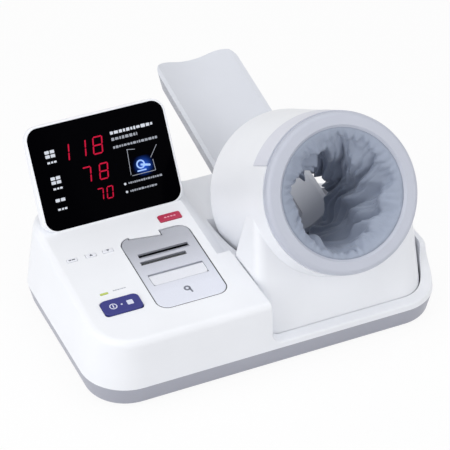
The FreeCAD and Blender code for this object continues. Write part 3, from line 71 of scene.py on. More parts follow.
# ---------------------------------------------------------------- node and colour helpers
def linear(code: str) -> Rgba:
    """Turn an sRGB hex colour into linear values.

    Args:
        code: the colour as "#RRGGBB".

    Returns:
        Red, green, blue and an alpha of 1.
    """
    channels = [int(code[i:i + 2], 16) / 255 for i in (1, 3, 5)]
    red, green, blue = (c / 12.92 if c <= 0.04045 else ((c + 0.055) / 1.055) ** 2.4 for c in channels)
    return red, green, blue, 1.0


def add_node(tree: Tree, kind: str, inputs: dict[str | int, object] | None = None,
             feeds: Socket | None = None, **settings: object) -> Node:
    """Add a shader node, set it up and link it.

    Args:
        tree: the node tree that it goes into.
        kind: the node's type without "ShaderNode".
        inputs: a value, a node or one of a node's outputs for each input, by name or number.
        feeds: another node's input that takes its first output.
        **settings: the node's own properties.

    Returns:
        The new node.
    """
    made = tree.nodes.new("ShaderNode" + kind)
    for name, value in settings.items():
        setattr(made, name, value)
    for key, value in (inputs or {}).items():
        source = value.outputs[0] if isinstance(value, Node) else value
        if isinstance(source, Socket):
            tree.links.new(source, made.inputs[key])
        else:
            made.inputs[key].default_value = source
    if feeds is not None:
        tree.links.new(made.outputs[0], feeds)
    return made


def bare_tree(owner: bpy.types.Material | bpy.types.World) -> Tree:
    """Give a material or the world a node tree of its own.

    Args:
        owner: the material or the world.

    Returns:
        Its empty node tree.
    """
    owner.use_nodes = True
    owner.node_tree.nodes.clear()
    return owner.node_tree


def stand(name: str, data: bpy.types.ID) -> bpy.types.Object:
    """Put a mesh, a light or a camera into the scene.

    Args:
        name: the object's name.
        data: what it holds.

    Returns:
        The object.
    """
    made = bpy.data.objects.new(name, data)
    bpy.context.scene.collection.objects.link(made)
    return made


# ---------------------------------------------------------------- finishes
@dataclass(frozen=True)
class Surface:
    """A material in the making.

    Attributes:
        tree: its node tree.
        shader: its shader.
        where: the object's own coordinates, which its patterns follow.
    """

    tree: Tree
    shader: Node
    where: Socket


@dataclass(frozen=True)
class Finish(ABC):
    """What a surface is made of: its name, its colour, and how rough it is.

    Attributes:
        name: the material's name.
        colour: sRGB hex colour.
        roughness: 0 for a mirror, 1 for chalk.
        metallic: 1 for bare metal.
    """

    name: str
    colour: str
    roughness: float
    metallic: float = 0.0

    def material(self) -> bpy.types.Material:
        """Build the material the first time, and give the same one after that.

        Returns:
            The material.
        """
        if self.name in bpy.data.materials:
            return bpy.data.materials[self.name]
        made = bpy.data.materials.new(self.name)
        tree = bare_tree(made)
        sockets = {"Base Color": linear(self.colour), "Roughness": self.roughness, "Metallic": self.metallic}
        shader = add_node(tree, "BsdfPrincipled", sockets)
        add_node(tree, "OutputMaterial", {"Surface": shader})
        self.dress(Surface(tree, shader, add_node(tree, "TexCoord").outputs["Object"]))
        return made

    @abstractmethod
    def dress(self, on: Surface) -> None:
        """Add the finish's own pattern to a material in the making."""

    def mottle(self, on: Surface, size: float, share: float) -> None:
        """Let the colour drift a little over the surface.

        Args:
            on: the material in the making.
            size: width of a patch, in metres.
            share: how far the colour drifts, as a share of its value.
        """
        patches = add_node(on.tree, "TexNoise", {"Vector": on.where, "Scale": 1 / size, "Detail": 3.0})
        drift = add_node(on.tree, "MapRange", {"Value": patches, "From Min": 0.3, "From Max": 0.7,
                                               "To Min": 1 - share, "To Max": 1 + share})
        add_node(on.tree, "HueSaturation", {"Color": linear(self.colour), "Value": drift},
                 feeds=on.shader.inputs["Base Color"])


@dataclass(frozen=True)
class Moulded(Finish):
    """Injection-moulded ABS from a spark-eroded tool: a fine even grain that softens the gloss.

    Attributes:
        grain: width of the tool's grain, in millimetres.
        relief: height of the grain, in millimetres.
    """

    grain: float = 0.8
    relief: float = 0.006

    def dress(self, on: Surface) -> None:
        """Add the grain, a slight flow pattern in the colour, and handling marks in the gloss.

        Args:
            on: the material in the making.
        """
        self.mottle(on, 60 * MM, 0.012)
        fine = 1 / (self.grain * MM)
        grit = add_node(on.tree, "TexNoise", {"Vector": on.where, "Scale": fine, "Detail": 2.0})
        add_node(on.tree, "Bump", {"Height": grit, "Distance": self.relief * MM, "Strength": 0.6},
                 feeds=on.shader.inputs["Normal"])
        rubbed = add_node(on.tree, "TexNoise", {"Vector": on.where, "Scale": 1 / (24 * MM), "Detail": 4.0})
        add_node(on.tree, "MapRange", {"Value": rubbed, "From Min": 0.35, "From Max": 0.65,
                                       "To Min": self.roughness - 0.04, "To Max": self.roughness + 0.05},
                 feeds=on.shader.inputs["Roughness"])

    @staticmethod
    def paint_tone_and_highlight(on: Surface, mask: Node, colour: str) -> None:
        """Lay a second colour over the first one: a sprayed second tone, and a painted highlight on the ring's
        hood.

        Args:
            on: the material in the making.
            mask: gives 1 where the second colour goes.
            colour: sRGB hex colour laid over the first.
        """
        base = on.shader.inputs["Base Color"]
        layers = {"Fac": mask, "Color1": base.links[0].from_socket, "Color2": linear(colour)}
        add_node(on.tree, "MixRGB", layers, feeds=base)


@dataclass(frozen=True)
class TwoTone(Moulded):
    """Moulded ABS whose sides are masked and sprayed in a second grey.

    Attributes:
        side: sRGB hex colour of the sides.
    """

    side: str = "#A4A8B2"

    def dress(self, on: Surface) -> None:
        """Spray what faces sideways.

        Args:
            on: the material in the making.
        """
        super().dress(on)
        facing = add_node(on.tree, "SeparateXYZ", {"Vector": add_node(on.tree, "TexCoord").outputs["Normal"]})
        sideways = add_node(on.tree, "Math", {0: facing.outputs["X"]}, operation="ABSOLUTE")
        mask = add_node(on.tree, "MapRange", {"Value": sideways, "From Min": 0.62, "From Max": 0.72})
        self.paint_tone_and_highlight(on, mask, self.side)


@dataclass(frozen=True)
class RingWithPaintedHoodHighlight(Moulded):
    """Moulded ABS ring of one grey whose hood, behind its rim, is painted lighter as a highlight from the light
    on its top.

    Attributes:
        hood: sRGB hex colour of the painted highlight on the hood.
        rim: depth of the rim along the tunnel, in millimetres.
        tail: depth at which the hood has ended.
    """

    hood: str = "#D8DAE5"
    rim: float = 14.5
    tail: float = 54.0

    def dress(self, on: Surface) -> None:
        """Paint the highlight on what lies along the tunnel between the rim and the hood's tail.

        Args:
            on: the material in the making.
        """
        super().dress(on)
        # painted highlight: the hood is painted lighter than the rim, standing in for the light that falls on
        # its top
        place = TUNNEL.matrix()
        axis = place.col[2].to_3d().normalized()
        deep = add_node(on.tree, "VectorMath", {0: on.where, 1: axis}, operation="DOT_PRODUCT")
        middle = place.translation.dot(axis) + (self.rim + self.tail) / 2 * MM
        half = (self.tail - self.rim) / 2 * MM
        near = {0: deep.outputs["Value"], 1: middle, 2: half}
        self.paint_tone_and_highlight(on, add_node(on.tree, "Math", near, operation="COMPARE"), self.hood)


@dataclass(frozen=True)
class SilverPaint(Finish):
    """Sprayed silver paint on plastic: fine flakes that catch the light, under a satin lacquer.

    Attributes:
        flake: width of a flake, in millimetres, drawn coarser than it is so that it shows.
        fade: how much of the colour is left at the rear, darkened there as a painted reflection of the dark
            display.
        front: where the painted reflection starts, behind the middle of the object, in metres.
        rear: its rear end, where it is darkest.
    """

    flake: float = 0.35
    fade: float = 1.0
    front: float = -0.175
    rear: float = -0.088

    def dress(self, on: Surface) -> None:
        """Add flakes of two tones, each turned its own way, and the painted reflection that darkens the rear.

        Args:
            on: the material in the making.
        """
        flakes = add_node(on.tree, "TexVoronoi", {"Vector": on.where, "Scale": 1 / (self.flake * MM)})
        flakes = flakes.outputs["Color"]
        tone = add_node(on.tree, "MapRange", {"Value": flakes, "To Min": 0.94, "To Max": 1.05})
        # painted reflection: the colour is dimmed from front to rear, standing in for the dark display mirrored
        # in the paint
        place = add_node(on.tree, "SeparateXYZ", {"Vector": on.where})
        dim = add_node(on.tree, "MapRange", {"Value": place.outputs["Y"], "From Min": self.front,
                                             "From Max": self.rear, "To Min": 1.0, "To Max": self.fade})
        level = add_node(on.tree, "Math", {0: tone, 1: dim}, operation="MULTIPLY")
        add_node(on.tree, "HueSaturation", {"Color": linear(self.colour), "Value": level},
                 feeds=on.shader.inputs["Base Color"])
        add_node(on.tree, "Bump", {"Height": flakes, "Distance": 0.002 * MM, "Strength": 0.5},
                 feeds=on.shader.inputs["Normal"])
        on.shader.inputs["Coat Weight"].default_value = 0.25
        on.shader.inputs["Coat Roughness"].default_value = 0.2


@dataclass(frozen=True)
class Brushed(Finish):
    """Bent steel or aluminium sheet: fine lines along one direction.

    Attributes:
        pitch: distance between the lines, in millimetres.
    """

    pitch: float = 0.4

    def dress(self, on: Surface) -> None:
        """Stretch a noise along X into brush lines, in the tone and in the relief.

        Args:
            on: the material in the making.
        """
        scale = Vector((0.02, 1.0, 1.0)) / (self.pitch * MM)
        lines = add_node(on.tree, "Mapping", {"Vector": on.where, "Scale": scale})
        grain = add_node(on.tree, "TexNoise", {"Vector": lines, "Scale": 1.0, "Detail": 2.0})
        tone = add_node(on.tree, "MapRange", {"Value": grain, "To Min": 0.9, "To Max": 1.08})
        add_node(on.tree, "HueSaturation", {"Color": linear(self.colour), "Value": tone},
                 feeds=on.shader.inputs["Base Color"])
        add_node(on.tree, "Bump", {"Height": grain, "Distance": 0.004 * MM, "Strength": 0.5},
                 feeds=on.shader.inputs["Normal"])


@dataclass(frozen=True)
class CircuitBoard(Finish):
    """Glass-fibre board under green solder mask: straight copper tracks show through as a lighter green.

    Attributes:
        track: distance between tracks, in millimetres.
        copper: sRGB hex colour of a track under the mask.
    """

    track: float = 2.4
    copper: str = "#3F8A5A"

    def dress(self, on: Surface) -> None:
        """Lay out tracks as thin joints between blocks of different lengths.

        Args:
            on: the material in the making.
        """
        green = linear(self.colour)
        tracks = add_node(on.tree, "TexBrick", {
            "Vector": on.where, "Color1": green, "Color2": green, "Mortar": linear(self.copper), "Scale": 1.0,
            "Mortar Size": 0.3 * MM, "Brick Width": 9 * self.track * MM, "Row Height": self.track * MM},
            feeds=on.shader.inputs["Base Color"])
        add_node(on.tree, "Bump", {"Height": tracks.outputs["Fac"], "Distance": 0.03 * MM, "Strength": 0.4},
                 feeds=on.shader.inputs["Normal"])


@dataclass(frozen=True)
class SmokedLens(Finish):
    """Polished smoked acrylic: deep black with a clear gloss, under a coating that cuts reflections.

    Attributes:
        shine: how much of the bare acrylic's reflection is left, as half of it.
        index: the acrylic's index of refraction.
    """

    shine: float = 0.006
    index: float = 1.49

    def dress(self, on: Surface) -> None:
        """Add the acrylic's gloss and the faint waviness of a moulded sheet.

        Args:
            on: the material in the making.
        """
        wave = add_node(on.tree, "TexNoise", {"Vector": on.where, "Scale": 1 / (45 * MM), "Detail": 1.0})
        add_node(on.tree, "Bump", {"Height": wave, "Distance": 0.05 * MM, "Strength": 0.3},
                 feeds=on.shader.inputs["Normal"])
        on.shader.inputs["IOR"].default_value = self.index
        on.shader.inputs["Specular IOR Level"].default_value = self.shine


@dataclass(frozen=True)
class Lit(Finish):
    """A lamp or a lit segment behind a diffuser: it glows evenly, a little brighter in patches.

    Attributes:
        glow: sRGB hex colour of the light.
        strength: 1 shows the light's colour as it is written.
        shine: how much its surface mirrors, and 0 for what lies behind the coated lens.
    """

    glow: str = "#FFFFFF"
    strength: float = 1.0
    shine: float = 0.0

    def dress(self, on: Surface) -> None:
        """Switch the light on.

        Args:
            on: the material in the making.
        """
        self.shed(on)
        on.shader.inputs["Emission Strength"].default_value = self.strength
        on.shader.inputs["Specular IOR Level"].default_value = self.shine

    def shed(self, on: Surface) -> None:
        """Let the light's colour drift as a diffuser does.

        Args:
            on: the material in the making.
        """
        patches = add_node(on.tree, "TexNoise", {"Vector": on.where, "Scale": 1 / (3 * MM), "Detail": 1.0})
        drift = add_node(on.tree, "MapRange", {"Value": patches, "From Min": 0.3, "From Max": 0.7,
                                               "To Min": 0.85, "To Max": 1.12})
        add_node(on.tree, "HueSaturation", {"Color": linear(self.glow), "Value": drift},
                 feeds=on.shader.inputs["Emission Color"])


@dataclass(frozen=True)
class BlueGlow(Lit):
    """Blue light behind the lens that fades to nothing at the edge of its window.

    Attributes:
        middle: middle of the window on the display, in millimetres.
        reach: radius at which it has faded, in millimetres.
    """

    middle: tuple[float, float] = (0.0, 0.0)
    reach: float = 15.0

    def shed(self, on: Surface) -> None:
        """Fade the light with the distance from the middle of its window.

        Args:
            on: the material in the making.
        """
        middle = DISPLAY.matrix() @ Vector((*self.middle, 0))
        scale = Vector((1, 1, 1)) / (self.reach * MM)
        local = add_node(on.tree, "Mapping", {"Vector": on.where, "Location": -middle / (self.reach * MM),
                                              "Scale": scale})
        ball = add_node(on.tree, "TexGradient", {"Vector": local}, gradient_type="SPHERICAL")
        fade = add_node(on.tree, "Math", {0: ball.outputs["Fac"], 1: 1.8}, operation="POWER")
        add_node(on.tree, "MixRGB", {"Fac": fade, "Color1": linear("#000004"), "Color2": linear(self.glow)},
                 feeds=on.shader.inputs["Emission Color"])


@dataclass(frozen=True)
class StretchNylon(Finish):
    """Thin knitted nylon with some sheen: ribs run along the tunnel, and it looks paler where it turns away.

    Attributes:
        rib: distance between ribs, in millimetres, drawn coarser than it is so that it shows.
    """

    rib: float = 1.1

    def dress(self, on: Surface) -> None:
        """Draw ribs and courses on the cloth's own map, and let the dye drift.

        Args:
            on: the material in the making.
        """
        cut = add_node(on.tree, "UVMap", uv_map=Sleeve.MAP)
        scale = 0.314 / (self.rib * MM)    # a wave texture repeats each 0.314 units at a scale of 1
        ribs = add_node(on.tree, "TexWave", {"Vector": cut, "Scale": scale, "Distortion": 0.6, "Detail": 1.0},
                        bands_direction="X")
        courses = add_node(on.tree, "TexWave", {"Vector": cut, "Scale": scale / 1.4, "Distortion": 0.6},
                           bands_direction="Y")
        knit = add_node(on.tree, "Math", {0: ribs, 1: courses}, operation="MULTIPLY")
        add_node(on.tree, "Bump", {"Height": knit, "Distance": 0.08 * MM, "Strength": 0.35},
                 feeds=on.shader.inputs["Normal"])
        self.mottle(on, 18 * MM, 0.03)
        on.shader.inputs["Sheen Weight"].default_value = 0.25
        on.shader.inputs["Sheen Roughness"].default_value = 0.4


FINISHES: dict[str, Finish] = {
    "white_shell": Moulded("moulded_white_abs", "#F0F2F7", 0.36),
    "grey_band": Moulded("moulded_grey_abs", "#A5A7B3", 0.42),
    # the ring's hood gets a painted highlight, lighter than its rim
    "ring_grey": RingWithPaintedHoodHighlight("moulded_blue_grey_abs_painted_hood_highlight", "#BEC2CF", 0.40),
    "rest_grey": TwoTone("moulded_pale_grey_abs", "#DDE0E8", 0.40),
    "cloth": StretchNylon("knitted_nylon", "#9CA5B7", 0.72),
    "rubber_grey": Moulded("moulded_grey_rubber", "#47494E", 0.7, grain=0.5, relief=0.02),
    "bladder": Moulded("calendered_rubber", "#5A5D64", 0.6, grain=1.5, relief=0.03),
    "inner_plastic": Moulded("moulded_plain_abs", "#93979E", 0.5),
    "steel": Brushed("bent_steel_sheet", "#B9BABD", 0.34, 1.0),
    "screw_steel": Brushed("zinc_plated_steel", "#AFB0B6", 0.3, 1.0, pitch=0.2),
    "board_green": CircuitBoard("green_circuit_board", "#17603A", 0.35),
    "black_plastic": Moulded("moulded_black_abs", "#1D1D20", 0.4),
    "lens_black": SmokedLens("smoked_acrylic", "#010103", 0.08),
    "digit_red": Lit("red_led_module", "#5A0D18", 0.3, glow="#D21F3C", strength=0.6, shine=0.4),
    "guide_blue": Lit("blue_lamp_block", "#10204A", 0.3, glow="#3A6FE0", strength=0.6, shine=0.4),
    "led_green": Lit("green_led_lens", "#8F9E4C", 0.25, glow="#BFCB6A", strength=0.4, shine=0.5),
    "start_blue": Moulded("moulded_blue_abs", "#191E76", 0.36),
    "stop_red": Moulded("moulded_red_abs", "#B5224A", 0.34),
    "key_grey": Moulded("moulded_key_abs", "#E9EBF2", 0.38),
    # the cover's silver is dimmed towards the rear as a painted reflection of the dark display
    "silver_cover": SilverPaint("silver_sprayed_abs_painted_reflection", "#DADDE9", 0.34, 0.3, fade=0.62),
    "flap_grey": SilverPaint("silver_sprayed_flap", "#DFE1E9", 0.34, 0.25),
    "paper": Moulded("thermal_paper", "#F3F2ED", 0.6, grain=0.3, relief=0.004),
    "gear_white": Moulded("moulded_acetal", "#E3E1D8", 0.35),
    "supply_metal": Brushed("aluminium_box", "#B8BABE", 0.4, 1.0, pitch=0.6),
}


# ---------------------------------------------------------------- places on the object
@dataclass(frozen=True)
class Plane:
    """A flat frame on the object: x to the right, y up its slope, z out of it, in millimetres.

    Attributes:
        x: the origin's place across the object, in millimetres.
        y: the origin's distance behind the base's front edge, in millimetres.
        z: the origin's height, in millimetres.
        slope: degrees that the frame is turned about X.
    """

    x: float
    y: float
    z: float
    slope: float

    def matrix(self) -> Matrix:
        """Work out where the frame lies.

        Returns:
            The matrix that turns local millimetres into the object's metres.
        """
        origin = Vector((self.x * MM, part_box("base_tray")[0].y + self.y * MM, self.z * MM))
        slope = Matrix.Rotation(math.radians(self.slope), 4, "X")
        return Matrix.Translation(origin) @ slope @ Matrix.Scale(MM, 4)


PANEL = Plane(0.0, 4.5, 95.0, 4.2)
DISPLAY = Plane(-116.6, 221.0, 112.4, 58.0)
TUNNEL = Plane(103.65, 46.3, 195.3, -123.14)    # x across, y down, z along the tunnel


def publish(name: str, mesh: Mesh, place: Matrix, finish: Finish, body: str,
            smooth: bool = False) -> bpy.types.Object:
    """Turn a bmesh into a piece that rides on a body.

    Args:
        name: the piece's name.
        mesh: its shape, in the local frame, freed here.
        place: local frame to metres.
        finish: its surface.
        body: the body that it rides on.
        smooth: whether its faces are shaded smooth.

    Returns:
        The piece.
    """
    mesh.transform(place)
    bmesh.ops.recalc_face_normals(mesh, faces=mesh.faces[:])
    for face in mesh.faces:
        face.smooth = smooth
    data = bpy.data.meshes.new(name)
    mesh.to_mesh(data)
    mesh.free()
    data.materials.append(finish.material())
    piece = stand(name, data)
    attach(piece, body)
    log.info("%s: %d faces on %s", name, len(data.polygons), body)
    return piece


# ---------------------------------------------------------------- flat marks
@dataclass
class Stencil:
    """Flat marks of one colour, printed or lit, that make one thin piece.

    Attributes:
        plane: the frame that the marks are drawn in.
        lift: height of their underside over the frame, in millimetres.
        thick: thickness of the print, in millimetres.
        mesh: the marks so far.
    """

    plane: Plane
    lift: float
    thick: float = 0.06
    mesh: Mesh = field(default_factory=bmesh.new)

    def raise_up(self, faces: list[Face]) -> None:
        """Give a flat mark its thickness."""
        made = bmesh.ops.extrude_face_region(self.mesh, geom=faces, use_keep_orig=True)["geom"]
        bmesh.ops.translate(self.mesh, verts=[v for v in made if isinstance(v, Vert)], vec=(0, 0, self.thick))

    def bar(self, x: float, y: float, wide: float, tall: float, corner: float = 0.0,
            turn: float = 0.0) -> None:
        """Draw a bar with round corners.

        Args:
            x: its middle.
            y: its middle.
            wide: its width before it is turned.
            tall: its height before it is turned.
            corner: radius of its corners.
            turn: degrees anticlockwise.
        """
        place = Matrix.Translation((x, y, self.lift)) @ Matrix.Rotation(math.radians(turn), 4, "Z")
        place @= Matrix.Diagonal((wide, tall, 1, 1))
        made = bmesh.ops.create_grid(self.mesh, x_segments=1, y_segments=1, size=0.5, matrix=place)
        face = made["verts"][0].link_faces[0]
        if corner:
            done = bmesh.ops.bevel(self.mesh, geom=made["verts"], offset=corner, affect="VERTICES",
                                   segments=4, profile=0.5, material=-1)
            face = max(done["faces"] + [f for v in done["verts"] for f in v.link_faces], key=Face.calc_area)
        self.raise_up([face])

    def shape(self, points: list[tuple[float, float]]) -> None:
        """Draw a polygon through a few corners, anticlockwise."""
        corners = [self.mesh.verts.new((x, y, self.lift)) for x, y in points]
        self.raise_up([self.mesh.faces.new(corners)])

    def ring(self, x: float, y: float, outer: float, inner: float) -> None:
        """Draw a ring, or a dot where the inner radius is 0.

        Args:
            x: its middle.
            y: its middle.
            outer: its outer radius.
            inner: its inner radius.
        """
        round_ = {"segments": 32, "matrix": Matrix.Translation((x, y, self.lift))}
        made = bmesh.ops.create_circle(self.mesh, cap_ends=not inner, radius=outer, **round_)["verts"]
        if not inner:
            self.raise_up([made[0].link_faces[0]])
            return
        made += bmesh.ops.create_circle(self.mesh, cap_ends=False, radius=inner, **round_)["verts"]
        rims = list(dict.fromkeys(edge for vert in made for edge in vert.link_edges))
        self.raise_up(bmesh.ops.bridge_loops(self.mesh, edges=rims)["faces"])

    def band(self, wide: float, left: float, right: float, front: float, back: float, corner: float) -> None:
        """Run a narrow band down the left side, round the front and up the right side.

        Args:
            wide: the band's width.
            left: its outer left edge.
            right: its outer right edge.
            front: its outer front edge.
            back: where both sides end.
            corner: its outer radius.
        """
        low, high = self.lift, self.lift + self.thick
        ends = ((left, low), (left + wide, low), (left + wide, high), (left, high))
        cap = self.mesh.faces.new([self.mesh.verts.new((x, back, z)) for x, z in ends])
        for run, middle in (((0, front + corner - back, 0), left + corner),
                            ((right - left - 2 * corner, 0, 0), right - corner),
                            ((0, back - front - corner, 0), None)):
            made = bmesh.ops.extrude_face_region(self.mesh, geom=[cap, *cap.edges])["geom"]
            bmesh.ops.translate(self.mesh, verts=[v for v in made if isinstance(v, Vert)], vec=run)
            if middle is not None:
                cap = next(f for f in made if isinstance(f, Face))
                made = bmesh.ops.spin(self.mesh, geom=[cap, *cap.edges], cent=(middle, front + corner, 0),
                                      axis=(0, 0, 1), angle=math.pi / 2, steps=8)["geom_last"]
            cap = next(f for f in made if isinstance(f, Face))

    def words(self, x: float, y: float, wide: float, tall: float, seed: int, letter: float = 0.9) -> None:
        """Draw a line of print that says nothing: short bars of different widths.

        Args:
            x: the line's left end.
            y: its middle height.
            wide: its length.
            tall: its height.
            seed: sets the widths.
            letter: a bar's mean width, as a share of its height.
        """
        pick = random.Random(seed)
        at = x
        while at < x + wide:
            size = min(tall * letter * pick.uniform(0.6, 1.5), x + wide - at)
            if size > 0.3 * tall:
                self.bar(at + size / 2, y, size, tall * pick.uniform(0.75, 1.0), 0.15 * tall)
            at += size + tall * 0.3

    def publish(self, name: str, finish: Finish, body: str, slot: str) -> bpy.types.Object:
        """Make the marks a piece on a body."""
        return publish(name, self.mesh, self.plane.matrix(), finish, body)


class Segment(Enum):
    """The seven strokes of a figure: (x, y) of its middle in half figures, and whether it is upright."""

    TOP = (0, 1, False)
    TOP_LEFT = (-1, 0.5, True)
    TOP_RIGHT = (1, 0.5, True)
    MIDDLE = (0, 0, False)
    LOW_LEFT = (-1, -0.5, True)
    LOW_RIGHT = (1, -0.5, True)
    BOTTOM = (0, -1, False)


FIGURES: dict[str, tuple[Segment, ...]] = {
    "0": tuple(s for s in Segment if s is not Segment.MIDDLE),
    "1": (Segment.TOP_RIGHT, Segment.LOW_RIGHT),
    "7": (Segment.TOP, Segment.TOP_RIGHT, Segment.LOW_RIGHT),
    "8": tuple(Segment),
}


@dataclass(frozen=True)
class Row:
    """One row of lit figures.

    Attributes:
        text: the figures.
        right: middle of the last figure, in millimetres.
        y: middle of the row.
        wide: distance between a figure's upright strokes.
        tall: distance between its top and bottom strokes.
        pitch: from figure to figure.
        stroke: width of a lit stroke.
    """

    text: str
    right: float
    y: float
    wide: float
    tall: float
    pitch: float
    stroke: float


@dataclass
class Display:
    """The leaning display: lit figures and a generic printed guide behind the smoked lens.

    Attributes:
        rows: the rows of figures, from the top.
        slant: how far a figure leans to the right per millimetre of height.
        label_x: middle of the labels beside the rows.
        guide: (left end, height, length, line height) of each printed line at the right.
        notes: (height, length) of each note under the picture.
        window: middle of the picture's lit window.
        sketch: (x, y, length, degrees) of each line of the picture.
    """

    rows: tuple[Row, ...] = (Row("118", -3.0, 90.0, 11.4, 20.2, 21.6, 1.7),
                             Row("78", -2.8, 57.6, 10.4, 18.6, 22.0, 1.7),
                             Row("70", -1.0, 30.6, 7.4, 14.0, 12.6, 1.7 * 0.8))
    slant: float = 0.16
    label_x: float = -64.2
    guide: tuple[tuple[float, float, float, float], ...] = (
        (15.5, 100.0, 57.5, 4.2), (15.5, 92.2, 34.0, 4.0), (15.5, 82.2, 59.0, 3.2))
    notes: tuple[tuple[float, float], ...] = ((35.4, 45.0), (25.4, 36.0))
    window: tuple[float, float] = (48.5, 52.0)
    sketch: tuple[tuple[float, float, float, float], ...] = (
        (31.0, 60.0, 31.0, 86), (36.8, 75.0, 11.0, -10), (65.0, 66.5, 18.0, 52), (62.0, 50.0, 14.0, 92),
        (46.5, 43.0, 31.0, 0))

    def build(self) -> None:
        """Make the figures, the labels and the guide."""
        self.figures()
        self.labels()
        self.guide_print()
        self.picture()

    def figures(self) -> None:
        """Light the figures."""
        lit = Stencil(DISPLAY, 0.03)
        for row in self.rows:
            for place, text in enumerate(reversed(row.text)):
                for segment in FIGURES[text]:
                    lit.shape(self.outline(row, row.right - place * row.pitch, segment))
        red = Lit("lit_red_segments", "#240208", 0.3, glow="#CC1C3E", strength=0.95)
        lit.publish("lit_figures", red, "base", "digit_red")

    def outline(self, row: Row, middle: float, segment: Segment) -> list[tuple[float, float]]:
        """Give the outline of one stroke with pointed ends.

        Args:
            row: the figure's sizes.
            middle: the figure's middle.
            segment: which stroke.

        Returns:
            Its corners on the display.
        """
        side, level, upright = segment.value
        run = (row.tall / 2 if upright else row.wide) - 0.5
        half, thin = run / 2, row.stroke / 2
        points = []
        for along, aside in ((-half, 0), (-half + thin, -thin), (half - thin, -thin), (half, 0),
                             (half - thin, thin), (-half + thin, thin)):
            x, y = (-aside, along) if upright else (along, aside)
            x, y = x + side * row.wide / 2, y + level * row.tall / 2
            points.append((middle + x + y * self.slant, row.y + y))
        return points

    def labels(self) -> None:
        """Print three plain labels to the left of the rows: two lines of blocks, and dashes under them."""
        marks = Stencil(DISPLAY, 0.03)
        for row, lines, dashes in zip(self.rows, (2, 2, 1), (-7.2, -7.2, -5.6)):
            for line in range(lines):
                for x in (-3.6, 3.2):
                    marks.bar(self.label_x + x, row.y + 5.6 - 5.2 * line, 5.6, 3.9, 0.6)
            for x, wide in ((-4.0, 3.6), (0.4, 2.6), (4.4, 3.4)):
                marks.bar(self.label_x + x, row.y + dashes, wide, 2.4, 0.5)
        marks.publish("value_labels", self.white(), "base", "white_shell")

    @staticmethod
    def white() -> Finish:
        """White print that is lit from behind."""
        return Lit("back_lit_white_print", "#B4B8C0", 0.1, glow="#DDE2EA", strength=0.3)

    @staticmethod
    def dim() -> Finish:
        """Thinner print that lets less light through."""
        return Lit("back_lit_grey_print", "#8F939B", 0.1, glow="#AEB4BE", strength=0.2)

    def guide_print(self) -> None:
        """Print the lines over the picture and the two notes under it."""
        bright, dim = Stencil(DISPLAY, 0.03), Stencil(DISPLAY, 0.03)
        for number, (x, y, wide, tall) in enumerate(self.guide):
            (dim if number else bright).words(x, y, wide, tall, 11 + number)
        for number, (y, wide) in enumerate(self.notes):
            bright.ring(20.0, y, 1.5, 0.0)
            dim.words(24.5, y, wide, 2.6, 31 + number)
        bright.publish("guide_heading", self.white(), "base", "white_shell")
        dim.publish("guide_lines", self.dim(), "base", "white_shell")

    def picture(self) -> None:
        """Draw a generic pictogram: a ring on a table, with a bar through it, in a blue glow."""
        glow = Stencil(DISPLAY, 0.02, 0.02)
        glow.bar(*self.window, 30.0, 25.0, 5.0)
        blue = BlueGlow("blue_glow", "#030308", 0.08, glow="#2E66E8", middle=self.window)
        glow.publish("guide_glow", blue, "base", "guide_blue")
        lines = Stencil(DISPLAY, 0.05)
        for x, y, long, turn in self.sketch:
            lines.bar(x, y, long, 0.7, 0.3, turn)
        lines.publish("guide_outline", self.dim(), "base", "white_shell")
        ring = Stencil(DISPLAY, 0.05)
        ring.ring(45.0, 54.5, 5.6, 3.8)
        ring.bar(51.0, 52.5, 13.0, 2.6, 1.2, -14)
        ring.bar(45.0, 46.8, 12.0, 1.6, 0.6)
        pale = Lit("lit_pale_blue", "#39507F", 0.08, glow="#A9CBFF", strength=0.9)
        ring.publish("guide_ring", pale, "base", "guide_blue")


